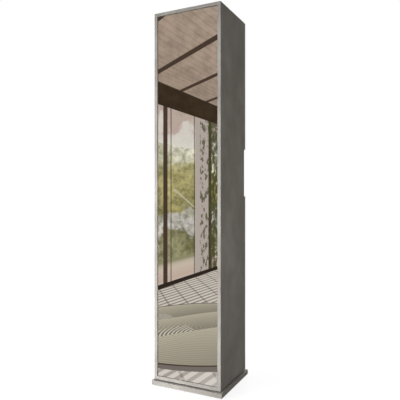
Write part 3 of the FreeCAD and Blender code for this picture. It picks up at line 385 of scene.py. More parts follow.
def plastic(name, colour, roughness):
    material, tree, shader, place = new_material(name)
    moulding = noise(tree, place, *MOULDING)
    darker = tuple(part * PLASTIC_SHADE for part in colour)
    tones = ramp(tree, moulding, [(NOISE_LOW, darker), (NOISE_HIGH, colour)])
    tree.links.new(tones, shader.inputs["Base Color"])
    rough = spread(tree, moulding, roughness - ROUGHNESS_PLAY, roughness + ROUGHNESS_PLAY)
    tree.links.new(rough, shader.inputs["Roughness"])
    add_bump(tree, shader, moulding, *MOULDING_BUMP)
    return material


finishes.update({slot: plastic(*recipe) for slot, recipe in PLASTICS.items()})
print("plastics:", sorted(PLASTICS))

# %% [markdown]
# ## Dowel wood
# The dowels are turned from beech, whose grain runs along them. A picture of wood would be far too
# large for an 8 mm pin. A noise that is drawn out along the dowel gives fine, straight grain.

# %% Beech
BEECH_GRAIN = (300.0, 4.0, 0.55, (0.1, 1.0, 1.0))  # cells per metre, detail, roughness, stretch
BEECH_TONES = [(NOISE_LOW, from_srgb(178, 138, 98)), (NOISE_HIGH, from_srgb(214, 178, 136))]
BEECH_ROUGHNESS = (0.55, 0.75)


def dowel_wood():
    material, tree, shader, place = new_material("beech_dowel")
    grain = noise(tree, place, *BEECH_GRAIN)
    tree.links.new(ramp(tree, grain, BEECH_TONES), shader.inputs["Base Color"])
    tree.links.new(spread(tree, grain, *BEECH_ROUGHNESS), shader.inputs["Roughness"])
    return material


finishes["dowel_beech"] = dowel_wood()
finishes["cement_edge"] = banding
finishes["mirror_silver"] = mirror_silver
print("finishes by slot:", {slot: finish.name for slot, finish in sorted(finishes.items())})

# %% [markdown]
# ## Finishes on the frame's nodes
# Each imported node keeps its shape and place. Only its material changes, from a plain colour to a
# finish. The finishes could be given out name by name. But the record already says which slot each
# node has, so the finish is looked up there, and only the boards take a cement of their own.

# %% Give every node its finish
slot_of = {part["node"]: part["material_slot"] for part in frame["record"]["subparts"]}
for name, node in nodes.items():
    node.data.materials.clear()
    node.data.materials.append(board_finish.get(name) or finishes[slot_of[name]])
print("nodes with a finish:", len(slot_of))

# %% [markdown]
# ## Finding the fittings
# Screws, cam discs and bumpers are turned parts. The frame holds them as plain pins with flat heads,
# which is right for their fit but not for the eye: a real screw head has a rounded rim and a cross cut
# into it, and its shank has a thread. The finer ones have to sit exactly where the plain ones are.
# Their places could be typed in again, but they would be wrong as soon as a size changes. So they are
# measured: each separate solid of a node is found by walking along its edges, and its box is kept.

# %% Boxes of a node's solids
SAME_POINT = 0.01 * MM


def solids_of(name):
    """Lowest and highest corner of each separate solid of a CAD node, in a fixed order."""
    shape = bmesh.new()
    shape.from_mesh(nodes[name].data)
    bmesh.ops.remove_doubles(shape, verts=shape.verts, dist=SAME_POINT)
    left = set(shape.verts)
    boxes = []
    while left:
        reached = [left.pop()]
        points = []
        while reached:
            vertex = reached.pop()
            points.append(vertex.co.copy())
            for edge in vertex.link_edges:
                other = edge.other_vert(vertex)
                if other in left:
                    left.remove(other)
                    reached.append(other)
        boxes.append(tuple(Vector(pick(point[axis] for point in points) for axis in range(3))
                           for pick in (min, max)))
    shape.free()
    return sorted(boxes, key=lambda corners: tuple(corners[0]))


def ends(low, high, axis, sign):
    """Centre of the outer end face, length along the axis and radius of a turned solid's box."""
    way = "xyz".index(axis)
    middle = (low + high) / 2
    size = high - low
    outer = middle.copy()
    outer[way] = high[way] if sign > 0 else low[way]
    return outer, size[way], size[(way + 1) % 3] / 2


print("coat hook screws found:", len(solids_of("hook_screws")))

# %% [markdown]
# ## Drives
# A screwdriver or a key needs a recess. A cross could be laid on the head as a dark patch, but it would
# shine where a pit should be black. So its outline is drawn here and cut into the head later on.

# %% Outlines of the drives, as shares of the head's radius
CROSS_ARM, CROSS_HALF_WIDTH = 0.54, 0.14
SOCKET_CORNER = 0.5


def cross(radius):
    """Outline of a cross drive, as (across, up) points that run counter-clockwise."""
    arm, half = CROSS_ARM * radius, CROSS_HALF_WIDTH * radius
    quarter = [(arm, -half), (arm, half), (half, half)]
    outline = []
    for turn in range(4):
        for across, up in quarter:
            for _ in range(turn):
                across, up = -up, across
            outline.append((across, up))
    return outline


def hexagon(radius):
    """Outline of a hexagon socket."""
    corner = SOCKET_CORNER * radius
    return [(corner * math.cos(math.radians(60 * step)), corner * math.sin(math.radians(60 * step)))
            for step in range(6)]


print("corners of a cross:", len(cross(1.0)), "and of a hexagon socket:", len(hexagon(1.0)))

# %% [markdown]
# ## Shank and head
# A turned part is told by its outline: radius after radius from the tip to the top. A real thread is a
# helix. At 4 mm it looks the same as a row of ridges, and those need no more than two rings for each
# turn. The head's rim is rounded, because that is where it catches the light.

# %% Rings of a screw
TIP_RADIUS, CONE_RADIUS, CONE_HEIGHT = 0.25, 0.8, 0.8  # shares of the shank's radius
ROOT_RADIUS, NECK_RADIUS = 0.78, 0.9  # shares of the shank's radius
THREADED_PART, NECK_LENGTH = 0.8, 0.18  # shares of the shank's length
# shares of the head's radius and height, from its seat up
HEAD_OUTLINE = ((0.97, 0.0), (1.0, 0.08), (1.0, 0.45), (0.96, 0.72), (0.85, 0.93), (0.7, 1.0))


def threaded(shank, length, turns):
    """Rings of a threaded shank from its tip to the seat of the head, as (radius, height)."""
    cone = CONE_HEIGHT * shank
    rings = [(TIP_RADIUS * shank, -length), (CONE_RADIUS * shank, cone - length)]
    run = THREADED_PART * length - cone
    for turn in range(turns):
        rings += [(shank, cone - length + run * (turn + 0.5) / turns),
                  (ROOT_RADIUS * shank, cone - length + run * (turn + 1) / turns)]
    return rings + [(NECK_RADIUS * shank, -NECK_LENGTH * length), (NECK_RADIUS * shank, 0.0)]


def rounded_head(radius, height):
    """Rings of a head with a rounded rim and a flat top."""
    return [(share * radius, level * height) for share, level in HEAD_OUTLINE]


print("rings of a screw with 8 turns:", len(threaded(1.0, 10.0, 8) + rounded_head(2.0, 1.0)))

# %% [markdown]
# ## Turning
# A lathe makes a fitting from its outline, and here a loop does: a circle of points for each ring,
# joined by faces. A screw modifier could do that too, but then the recess would need a cut with a
# second body. Drawn as one surface, the top face simply leaves the drive's outline open, and walls
# go down from there to the bottom of the recess.

# %% One turned fitting
ROUND = 32
DRIVE_TAPER = 0.6


def turned(shape, rings, seat, outward, drive, depth):
    """One turned fitting in the bmesh, with its drive sunk into the last ring's face."""
    across = outward.orthogonal().normalized()
    up = outward.cross(across)

    def point(side, rise, height):
        return shape.verts.new(seat + side * across + rise * up + height * outward)

    loops = []
    for radius, height in rings:
        loops.append([point(radius * math.cos(math.tau * step / ROUND),
                            radius * math.sin(math.tau * step / ROUND), height)
                      for step in range(ROUND)])
    for low, high in zip(loops, loops[1:]):
        for step in range(ROUND):
            following = (step + 1) % ROUND
            shape.faces.new((low[step], low[following], high[following], high[step]))
    shape.faces.new(loops[0][::-1])
    if not drive:
        shape.faces.new(loops[-1])
        return
    top = rings[-1][1]
    rim = [point(side, rise, top) for side, rise in drive]
    floor_rim = [point(DRIVE_TAPER * side, DRIVE_TAPER * rise, top - depth) for side, rise in drive]
    count = len(rim)
    for step in range(count):
        following = (step + 1) % count
        shape.faces.new((rim[step], rim[following], floor_rim[following], floor_rim[step]))
    shape.faces.new(floor_rim)
    edges = [shape.edges.get((loop[step - 1], loop[step]))
             for loop in (loops[-1], rim) for step in range(len(loop))]
    bmesh.ops.triangle_fill(shape, use_beauty=True, edges=edges, normal=outward)


print("corners of each ring:", ROUND)

# %% [markdown]
# ## A piece for each kind of fitting
# There are 44 of these fittings, and each could be an object of its own. But those of one kind never
# move apart, so they become one piece. It rides on the body that carries them, keeps their slot and
# stands for the plain node. Edges over 35 degrees stay sharp and the rest is shaded smooth.

# %% Making the piece
SMOOTH_ANGLE = math.radians(35)


def fitting(name, node, body, slot, draw, *form):
    """A piece that stands for a node of turned fittings; draw adds one fitting for each solid."""
    shape = bmesh.new()
    for low, high in solids_of(node):
        draw(shape, low, high, *form)
    bmesh.ops.recalc_face_normals(shape, faces=shape.faces)
    mesh = bpy.data.meshes.new(name)
    shape.to_mesh(mesh)
    shape.free()
    for face in mesh.polygons:
        face.use_smooth = True
    mesh.set_sharp_from_angle(angle=SMOOTH_ANGLE)
    mesh.materials.append(finishes[slot])
    piece = bpy.data.objects.new(name, mesh)
    bpy.context.scene.collection.objects.link(piece)
    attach(piece, body)
    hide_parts(node)
    print(name, "rides on", body, "faces:", len(mesh.polygons))


print("edges stay sharp from", round(math.degrees(SMOOTH_ANGLE)), "degrees")

# %% [markdown]
# ## Screws
# The screws of the hinge plates, hinge arms, hinge cups and coat hooks have a cross drive. The bolts
# through the cabinet floor have a hexagon socket, because they are driven from above with a key.
# Each kind could have a function of its own, but they differ only in numbers, so they share one.

# %% Screws and bolts
AXES = {"x": Vector((1, 0, 0)), "y": Vector((0, 1, 0)), "z": Vector((0, 0, 1))}
DRIVE_DEPTH = 0.8  # a share of the head's height
# node: new name, body, axis, side that the head faces, shank radius, head height, drive, turns
SCREWS = {
    "hinge_plate_screws": ("plate_screws_cross", "cabinet", "x", 1, 1.8 * MM, 1.8 * MM, cross, 8),
    "hinge_arm_screws": ("arm_screws_cross", "cabinet", "x", 1, 2.0 * MM, 1.6 * MM, cross, 12),
    "hinge_cup_screws": ("cup_screws_cross", "door", "y", -1, 1.8 * MM, 1.8 * MM, cross, 8),
    "hook_screws": ("hook_screws_cross", "cabinet", "y", 1, 2.0 * MM, 2.0 * MM, cross, 10),
    "bearing_cabinet_bolts": ("floor_bolts_socket", "cabinet", "z", 1, 2.5 * MM, 2.6 * MM,
                              hexagon, 16),
}


def screw(shape, low, high, axis, sign, shank, head, drive, turns):
    outer, length, radius = ends(low, high, axis, sign)
    outward = AXES[axis] * sign
    rings = threaded(shank, length - head, turns) + rounded_head(radius, head)
    turned(shape, rings, outer - head * outward, outward, drive(radius), DRIVE_DEPTH * head)


for node, (name, body, *form) in SCREWS.items():
    fitting(name, node, body, "screw_zinc", screw, *form)

# %% [markdown]
# ## Cam discs
# A cam disc lies flush in the underside of its board and pulls the joint tight when it is turned. It
# shows a cross for the screwdriver inside a raised rim. A plain disc with a cross would look like a
# plug, so the rim, its bevel and the groove inside it are drawn as rings.

# %% Cam discs
CAM_RIM = 0.8 * MM
CAM_BEVEL_WIDTH, CAM_BEVEL_HEIGHT = 0.2 * MM, 0.1 * MM
CAM_GROOVE_WALL, CAM_GROOVE = 0.3 * MM, 0.5 * MM
CAM_DRIVE_DEPTH = 2.5 * MM


def cam_disc(shape, low, high):
    outer, length, radius = ends(low, high, "z", -1)
    rings = [(radius, -length), (radius, -CAM_BEVEL_HEIGHT), (radius - CAM_BEVEL_WIDTH, 0.0),
             (radius - CAM_RIM, 0.0), (radius - CAM_RIM - CAM_GROOVE_WALL, -CAM_GROOVE)]
    turned(shape, rings, outer, -AXES["z"], cross(radius), CAM_DRIVE_DEPTH)


fitting("cam_discs_cross", "cam_discs", "cabinet", "cam_zinc", cam_disc)

# %% [markdown]
# ## Bumpers
# Two soft clear domes on the rear edges keep the door off the boards. Part of a sphere would meet the
# board at a steep angle. The dome is made of rings instead that bulge first and flatten towards the
# middle, as a moulded drop does.

# %% Door bumpers
# shares of the dome's radius and height, from the board outwards
DOME = ((1.0, 0.0), (0.99, 0.25), (0.92, 0.5), (0.78, 0.72), (0.58, 0.88), (0.32, 0.97), (0.1, 1.0))


def bumper(shape, low, high):
    outer, length, radius = ends(low, high, "y", 1)
    rings = [(share * radius, level * length) for share, level in DOME]
    turned(shape, rings, outer - length * AXES["y"], AXES["y"], None, 0.0)


fitting("door_bumper_domes", "door_bumpers", "cabinet", "bumper_rubber", bumper)

# %% [markdown]
# ## Rays and sums
# The floor and the room round the cabinet look different to different rays: the camera's own, those
# that bounce off polished things, and the soft light. An object can be hidden from one kind of ray,
# but only altogether. The Light Path node does more: it tells which kind a ray is, and its answer
# picks one of two shaders. The rest is plain arithmetic in Math nodes.

# %% Helpers for light paths
def calculate(tree, operation, *values):
    """One step of arithmetic on sockets and numbers."""
    node = tree.nodes.new("ShaderNodeMath")
    node.operation = operation
    for socket, source in zip(node.inputs, values):
        if isinstance(source, bpy.types.NodeSocket):
            tree.links.new(source, socket)
        else:
            socket.default_value = source
    return node.outputs[0]


def light_path(tree, *wanted):
    """1 for rays of the wanted kinds, such as Is Camera Ray, and 0 for all others."""
    paths = tree.nodes.new("ShaderNodeLightPath")
    result = paths.outputs[wanted[0]]
    for kind in wanted[1:]:
        result = calculate(tree, "MAXIMUM", result, paths.outputs[kind])
    return result


def mixed(tree, factor, first, second):
    """One of two shaders, by a factor."""
    node = tree.nodes.new("ShaderNodeMixShader")
    tree.links.new(factor, node.inputs[0])
    tree.links.new(first, node.inputs[1])
    tree.links.new(second, node.inputs[2])
    return node.outputs[0]


def glow(tree, strength):
    node = tree.nodes.new("ShaderNodeEmission")
    node.inputs["Strength"].default_value = strength
    return node.outputs[0]


print("rays told apart: camera, glossy, transmission and all others")

# %% [markdown]
# ## Floor finish
# The cabinet stands on a pale floor that fades into a white background with no visible horizon.
# A very bright floor would do that, but it would also throw light up at the boards. Instead the floor
# is a middling diffuse grey with a glow that only the camera sees: together they come to white, and
# where the cabinet takes the light away, the soft shadow stays. Further out the glow takes over.

# %% Floor finish
SHADOW_REACH = (0.7, 2.4)
FLOOR_TONE = 0.17
FLOOR_UNEVENNESS = 0.02
FLOOR_CELLS_PER_METRE = 2.0
FLOOR_ROUGHNESS = 0.9
GLOW_NEAR, GLOW_FAR = 0.87, 1.0


def distance_fade(tree, place, near, far):
    """0 up to the near distance from the cabinet, and 1 from the far distance on."""
    length = tree.nodes.new("ShaderNodeVectorMath")
    length.operation = "LENGTH"
    tree.links.new(place, length.inputs[0])
    node = tree.nodes.new("ShaderNodeMapRange")
    node.interpolation_type = "SMOOTHSTEP"
    node.inputs["From Min"].default_value = near
    node.inputs["From Max"].default_value = far
    tree.links.new(length.outputs["Value"], node.inputs["Value"])
    return node.outputs["Result"]


def floor_finish():
    material, tree, shader, place = new_material("studio_floor")
    tones = [(NOISE_LOW, grey(FLOOR_TONE * (1 - FLOOR_UNEVENNESS))),
             (NOISE_HIGH, grey(FLOOR_TONE * (1 + FLOOR_UNEVENNESS)))]
    patches = noise(tree, place, FLOOR_CELLS_PER_METRE)
    tree.links.new(ramp(tree, patches, tones), shader.inputs["Base Color"])
    shader.inputs["Roughness"].default_value = FLOOR_ROUGHNESS
    shader.inputs["Specular IOR Level"].default_value = 0.0
    lit = tree.nodes.new("ShaderNodeAddShader")
    tree.links.new(shader.outputs[0], lit.inputs[0])
    tree.links.new(glow(tree, GLOW_NEAR), lit.inputs[1])
    fade = distance_fade(tree, place, *SHADOW_REACH)
    seen = mixed(tree, fade, lit.outputs[0], glow(tree, GLOW_FAR))
    final = mixed(tree, light_path(tree, "Is Camera Ray"), shader.outputs[0], seen)
    tree.links.new(final, tree.nodes["Material Output"].inputs["Surface"])
    return material


print("the shadow fades out from", SHADOW_REACH[0], "to", SHADOW_REACH[1], "m")

# %% [markdown]
# ## Floor
# A large flat disc serves as the floor. A curved backdrop could hide the horizon, but here the floor
# has faded to the background's white long before its rim, so no horizon is left to hide. It is hidden
# from polished surfaces, which see a drawn room instead.

# %% Floor disc
FLOOR_RADIUS = 6.0
FLOOR_CORNERS = 96
mesh = bpy.data.meshes.new("studio_floor")
shape = bmesh.new()
bmesh.ops.create_circle(shape, cap_ends=True, radius=FLOOR_RADIUS, segments=FLOOR_CORNERS)
shape.to_mesh(mesh)
shape.free()
floor = bpy.data.objects.new("studio_floor", mesh)
bpy.context.scene.collection.objects.link(floor)
mesh.materials.append(floor_finish())
floor.visible_glossy = False
print("floor radius:", FLOOR_RADIUS)

# %% [markdown]
# ## A room for the mirror
# A mirror shows what is round it, so an empty white studio would turn it into a white panel. Rays that
# bounce off polished things meet a plain bright room instead: a floor with painted slat shadows and a
# round rug, a window wall with thin dark bars and a hazy garden behind it, a dark rail and a ceiling of
# warm boards.
# The room could be built of big planes. It is only ever seen in reflections, so it is drawn in the
# world instead, from the ray's direction alone.
# Its bars, boards, painted slat shadows and rings are stripes that repeat, and its walls are banded
# alike on all four sides, so the room goes on all the way round. A colour ramp could draw stripes too,
# but it blurs thin ones.

# %% Helpers for drawing by place
def both(tree, first, second):
    """1 where both are 1; a number in place of the second makes the first weaker."""
    return calculate(tree, "MULTIPLY", first, second)


def stripes(tree, place, pitch, width, start=0.0):
    """1 inside stripes that repeat along the place; their width and start are shares of the pitch."""
    step = calculate(tree, "DIVIDE", place, pitch)
    phase = calculate(tree, "FRACT", calculate(tree, "ADD", step, start))
    return calculate(tree, "LESS_THAN", phase, width)


def within(tree, place, low, high):
    """1 between the low and the high place, and 0 outside."""
    above = calculate(tree, "GREATER_THAN", place, low)
    return both(tree, above, calculate(tree, "LESS_THAN", place, high))


def slanted(tree, first, second, slant):
    """The place along a slanted line, from the places along two square ones."""
    return calculate(tree, "ADD", calculate(tree, "MULTIPLY", first, slant[0]),
                     calculate(tree, "MULTIPLY", second, slant[1]))


def painted(tree, where, share, below, colour):
    """The colour laid over what is below, where it says, covering a share of it."""
    return blend_colours(tree, both(tree, where, share), below, (*colour, 1.0))


print("the room is drawn with stripes, bands and slanted lines")

# %% [markdown]
# ## From a direction to a place
# Each ray meets one of four walls first. Divided by how far the ray has to go to that wall, its rise
# gives the height on the wall and its level part the place along it.
# All heights and lengths are shares of the distance to a side wall, and height 0 is just under the
# eye. Real walls could be measured in metres, but a ray from far away has no place to measure from.

# %% Directions in the world
END_WALL_DISTANCE = 2.5
EYE_SHIFT = 0.02
world = bpy.data.worlds.new("studio")
bpy.context.scene.world = world
world.use_nodes = True
tree = world.node_tree
for node in list(tree.nodes):
    if node.type == "BACKGROUND":
        tree.nodes.remove(node)

direction = tree.nodes.new("ShaderNodeTexCoord").outputs["Generated"]
split = tree.nodes.new("ShaderNodeSeparateXYZ")
tree.links.new(direction, split.inputs[0])
east, north, up = split.outputs
side_reach = calculate(tree, "ABSOLUTE", east)
end_reach = calculate(tree, "DIVIDE", calculate(tree, "ABSOLUTE", north), END_WALL_DISTANCE)
reach = calculate(tree, "MAXIMUM", side_reach, end_reach)
height = calculate(tree, "ADD", calculate(tree, "DIVIDE", up, reach), EYE_SHIFT)
along = calculate(tree, "DIVIDE", calculate(tree, "ADD", east, north), reach)
print("end walls are", END_WALL_DISTANCE, "times as far away as side walls")

# %% [markdown]
# ## Colours of the wall, from the floor up
# Behind the glass lie a garden's path, shrubs, pale stones, trees and sky. They could be drawn leaf by
# leaf. Seen far off and out of focus they are bands of colour, so a ramp over the height does, and a
# noise moves the height up and down to give the bands tufted edges.

# %% Bands of the wall
# what is there, its height and its colour
WALL_BANDS = [
    ("floor near the eye", -1.20, from_srgb(232, 222, 217)),
    ("floor at the wall", -0.373, from_srgb(222, 211, 200)),
    ("near edge of the path", -0.336, from_srgb(204, 180, 164)),
    ("far edge of the path", -0.28, from_srgb(214, 196, 180)),
    ("foot of the shrubs", -0.26, from_srgb(150, 146, 112)),
    ("top of the shrubs", -0.16, from_srgb(134, 128, 98)),
    ("foot of the stones", -0.14, from_srgb(206, 200, 196)),
    ("top of the stones", -0.06, from_srgb(196, 188, 180)),
    ("foot of the trees", -0.04, from_srgb(148, 139, 92)),
    ("crowns of the trees", 0.08, from_srgb(186, 173, 124)),
    ("tops of the trees", 0.15, from_srgb(204, 194, 154)),
    ("haze", 0.18, from_srgb(228, 220, 200)),
    ("sky", 0.27, from_srgb(230, 224, 212)),
    ("end of the sky", 0.325, from_srgb(222, 210, 202)),
    ("eaves", 0.335, from_srgb(196, 172, 160)),
    ("top of the glass", 0.386, from_srgb(200, 180, 168)),
    ("ceiling at the wall", 0.484, from_srgb(168, 147, 131)),
    ("ceiling overhead", 2.50, from_srgb(210, 187, 169)),
]
GLASS_LOW, GLASS_HIGH = -0.35, 0.398
TUFTS = (12.0, 5.0, 0.65)  # scale, detail and roughness of the noise
GARDEN_ROUGHNESS, PATH_END = 0.45, -0.235

in_glass = within(tree, height, GLASS_LOW, GLASS_HIGH)
tufts = calculate(tree, "SUBTRACT", noise(tree, direction, *TUFTS), NOISE_MIDDLE)
over_path = within(tree, height, PATH_END, GLASS_HIGH)
uneven = both(tree, calculate(tree, "MULTIPLY", tufts, GARDEN_ROUGHNESS), over_path)
lowest, highest = WALL_BANDS[0][1], WALL_BANDS[-1][1]
level = tree.nodes.new("ShaderNodeMapRange")
level.inputs["From Min"].default_value = lowest
level.inputs["From Max"].default_value = highest
tree.links.new(calculate(tree, "ADD", height, uneven), level.inputs["Value"])
room = ramp(tree, level.outputs["Result"],
            [((place - lowest) / (highest - lowest), colour) for _, place, colour in WALL_BANDS])
print("bands on the wall:", len(WALL_BANDS))

# %% [markdown]
# ## Leaves and a trunk
# Shrubs and trees are light and dark patches with leaves in them, so two noises shade the bands, a
# coarse one and a fine one. A single noise with both in it would look like smoke. A pale leaning
# trunk gives the eye something firm.

# %% Garden behind the glass
SHRUB_SHADES = [(0.36, (0.50, 0.52, 0.38)), (0.5, grey(0.95)), (0.62, grey(1.25))]
LEAF_SHADES = [(0.36, (0.45, 0.48, 0.34)), (0.5, grey(1.0)), (0.6, (1.35, 1.33, 1.2))]
PATCHES, LEAVES = (15.0, 3.0, 0.6), (95.0, 5.0, 0.7)  # scale, detail and roughness of the noises
LEAVES_LOW, LEAVES_HIGH, LEAVES_SHARE = -0.25, 0.24, 0.7
TRUNK, TRUNK_SHARE = from_srgb(206, 198, 178), 0.7
TRUNK_SLANT, TRUNK_PLACE, TRUNK_ENDS = (-0.417, 1.0), (1.202, 1.212), (-0.035, 0.05)

patches = noise(tree, direction, *PATCHES)
leaves = noise(tree, direction, *LEAVES)
in_leaves = both(tree, in_glass, within(tree, height, LEAVES_LOW, LEAVES_HIGH))
room = shaded(tree, patches, SHRUB_SHADES, both(tree, in_leaves, LEAVES_SHARE), room)
room = shaded(tree, leaves, LEAF_SHADES, both(tree, in_leaves, LEAVES_SHARE), room)
trunk = both(tree, within(tree, height, *TRUNK_ENDS),
             within(tree, slanted(tree, along, height, TRUNK_SLANT), *TRUNK_PLACE))
room = painted(tree, trunk, TRUNK_SHARE, room, TRUNK)
print("leaves from height", LEAVES_LOW, "to", LEAVES_HIGH)

# %% [markdown]
# ## Window bars, pillar and bamboo
# Dark bars divide the window, broad ones and slim ones, and a plaster pillar stands between them.
# Bamboo grows up beside the pillar: a fine noise, drawn out upright and cut off at a level, leaves
# ragged stems. Drawn stem by stem it would take far more nodes. It is dense in a narrow strip and
# thins out in a wider one.
# The dark rails at the foot and the head of the window come last, because all else ends behind them.

# %% Things at the window
# dark colour of the bars, beams and seams, also used for painted shadow and shade on the drawn floor
# and rug
BAR_AND_SHADOW = from_srgb(78, 62, 52)
PILLAR = from_srgb(190, 176, 168)
PILLAR_PITCH = 0.8888
# colour, pitch, width and start of each kind of upright
UPRIGHTS = ((PILLAR, PILLAR_PITCH, 0.173, 0.525), (BAR_AND_SHADOW, 0.2222, 0.032, 0.388),
            (BAR_AND_SHADOW, 0.4444, 0.08, 0.119))
BAMBOO, BAMBOO_SHARE = from_srgb(80, 80, 50), 0.8
STEMS = (170.0, 4.0, 0.65, (1.0, 1.0, 0.4))  # scale, detail, roughness and stretch of the noise
BAMBOO_START = 0.70
BAMBOO_CLUMPS = ((0.18, 0.55), (0.29, 0.46))  # width of the strip and density in it
RAILS = ((-0.366, -0.347, from_srgb(52, 42, 36)), (0.397, 0.491, from_srgb(65, 51, 38)))

for colour, pitch, width, start in UPRIGHTS:
    lines = stripes(tree, along, pitch, width, start)
    room = painted(tree, both(tree, in_glass, lines), 1.0, room, colour)
stems = noise(tree, direction, *STEMS)
for width, density in BAMBOO_CLUMPS:
    clump = both(tree, in_glass, stripes(tree, along, PILLAR_PITCH, width, BAMBOO_START))
    stalks = both(tree, clump, calculate(tree, "LESS_THAN", stems, density))
    room = painted(tree, stalks, BAMBOO_SHARE, room, BAMBOO)
for low, high, colour in RAILS:
    room = painted(tree, within(tree, height, low, high), 1.0, room, colour)
print("kinds of upright:", len(UPRIGHTS), "rails:", len(RAILS))

# %% [markdown]
# ## Ceiling
# The ceiling is of narrow boards with dark seams, under slanted beams. Dividing the ray's level parts
# by its rise gives the place where it meets the ceiling, and stripes in that place run to the same
# vanishing points as real boards would. A stretched noise gives the boards and the rail their grain.

# %% Ceiling boards and beams
CEILING_LOW = 0.49
NEARLY_LEVEL = 0.05  # the least rise that a ray's level parts are divided by
BOARD_PITCH, BOARD_SEAM, SEAM_SHARE = 0.06, 0.2, 0.16
BEAM_SLANT = (-0.56, 0.828)
BEAM_PITCH, BEAM_WIDTH, BEAM_START = 0.45, 0.12, 0.42
GRAIN = (18.0, 4.0, 0.6, (3.0, 1.0, 3.0))  # scale, detail, roughness and stretch of the noise
GRAIN_SHADES = [(0.35, grey(0.82)), (0.65, grey(1.12))]

level_up = calculate(tree, "MULTIPLY", height, reach)
overhead = calculate(tree, "MAXIMUM", level_up, NEARLY_LEVEL)
ceiling_x = calculate(tree, "DIVIDE", east, overhead)
ceiling_y = calculate(tree, "DIVIDE", north, overhead)
in_ceiling = calculate(tree, "GREATER_THAN", height, CEILING_LOW)
seams = stripes(tree, ceiling_x, BOARD_PITCH, BOARD_SEAM)
room = painted(tree, both(tree, seams, in_ceiling), SEAM_SHARE, room, BAR_AND_SHADOW)
grain = noise(tree, direction, *GRAIN)
in_wood = calculate(tree, "GREATER_THAN", height, RAILS[1][0])
room = shaded(tree, grain, GRAIN_SHADES, in_wood, room)
beam_place = slanted(tree, ceiling_x, ceiling_y, BEAM_SLANT)
beams = stripes(tree, beam_place, BEAM_PITCH, BEAM_WIDTH, BEAM_START)
room = painted(tree, both(tree, beams, in_ceiling), 1.0, room, BAR_AND_SHADOW)
print("ceiling from height", CEILING_LOW)

# %% [markdown]
# ## Light on the floor
# Sun falls through slats and throws their shadows on the floor, crossed by those of the window's
# frames. They are stripes again, in the place where the ray meets the floor. Where one looks nearly
# straight down they would come out large and hard, so they fade towards the feet.

# %% Slat and frame shadows painted on the floor
FLOOR_HEIGHT = -0.366
SLAT_SHADOW_SLANT, SLAT_SHADOW_PITCH, SLAT_SHADOW_WIDTH, SLAT_SHADOW_SHARE = (0.995, 0.095), 0.029, 0.45, 0.6
FRAME_SHADOW_SLANT, FRAME_SHADOW_PITCH, FRAME_SHADOW_WIDTH = (0.788, -0.616), 0.068, 0.10
FRAME_SHADOW_START, FRAME_SHADOW_SHARE = 0.67, 0.45
SLAT_SHADOWS_END = 1.5

below = calculate(tree, "DIVIDE", FLOOR_HEIGHT, calculate(tree, "MINIMUM", level_up, -NEARLY_LEVEL))
floor_x = calculate(tree, "MULTIPLY", east, below)
floor_y = calculate(tree, "MULTIPLY", north, below)
on_floor = calculate(tree, "LESS_THAN", height, FLOOR_HEIGHT)
in_reach = calculate(tree, "MAXIMUM", calculate(tree, "ADD", height, SLAT_SHADOWS_END), 0.0)
lit_part = both(tree, on_floor, calculate(tree, "MINIMUM", in_reach, 1.0))
# painted shadows of the slats and of the window's frames, laid on the drawn floor
slat_shadows = stripes(tree, slanted(tree, floor_x, floor_y, SLAT_SHADOW_SLANT), SLAT_SHADOW_PITCH, SLAT_SHADOW_WIDTH)
room = painted(tree, both(tree, slat_shadows, lit_part), SLAT_SHADOW_SHARE, room, BAR_AND_SHADOW)
frame_shadow_place = slanted(tree, floor_x, floor_y, FRAME_SHADOW_SLANT)
frame_shadows = stripes(tree, frame_shadow_place, FRAME_SHADOW_PITCH, FRAME_SHADOW_WIDTH, FRAME_SHADOW_START)
room = painted(tree, both(tree, frame_shadows, lit_part), FRAME_SHADOW_SHARE, room, BAR_AND_SHADOW)
print("floor below height", FLOOR_HEIGHT)

# %% [markdown]
# ## Round rug
# A thick round rug lies in front of the cabinet. A place is on it when its distance from the middle is
# less than the radius. Its painted shadow is the same disc a little nearer, its edge a slightly wider
# one, and its raked rings are stripes of painted shade in the distance from the middle.

# %% Rug
RUG_MIDDLE, RUG_RADIUS, RUG_EDGE = (-0.57, -1.215), 0.31, 0.008
SHADE_MIDDLE = (-0.54, -1.185)
RUG = from_srgb(180, 170, 152)
RUG_SHADE = from_srgb(124, 114, 108)
RAKED_PITCH, RAKED_WIDTH, RAKED_SHADE_SHARE = 0.0135, 0.5, 0.2


def distance(tree, middle):
    """How far a place on the drawn floor is from the middle of something round."""
    squares = []
    for place, centre in zip((floor_x, floor_y), middle):
        part = calculate(tree, "SUBTRACT", place, centre)
        squares.append(calculate(tree, "MULTIPLY", part, part))
    return calculate(tree, "SQRT", calculate(tree, "ADD", *squares))


# the rug's painted shadow first, then its dark edge, then the rug itself
for middle, radius, colour in ((SHADE_MIDDLE, RUG_RADIUS, RUG_SHADE),
                               (RUG_MIDDLE, RUG_RADIUS + RUG_EDGE, BAR_AND_SHADOW),
                               (RUG_MIDDLE, RUG_RADIUS, RUG)):
    on_rug = both(tree, on_floor, calculate(tree, "LESS_THAN", distance(tree, middle), radius))
    room = painted(tree, on_rug, 1.0, room, colour)
# raked rings of painted shade on the rug
raked = stripes(tree, distance(tree, RUG_MIDDLE), RAKED_PITCH, RAKED_WIDTH)
room = painted(tree, both(tree, on_rug, raked), RAKED_SHADE_SHARE, room, BAR_AND_SHADOW)
print("rug radius:", RUG_RADIUS)

# %% [markdown]
# ## Ridges in the rug
# The rug's pile rises in soft ridges, like dunes, whose light and shade are painted: pale where a slope
# begins and darker up to the next crest. A saw-tooth in the place across the ridges gives those slopes.
# In front of the last ridge the pile only falls away, so one long slope takes over there, and a slow
# noise makes the ridges wavy.
# On one side the crests are raked once more: painted light on the crests, crossed by stronger rings of
# painted shade about a middle of their own.

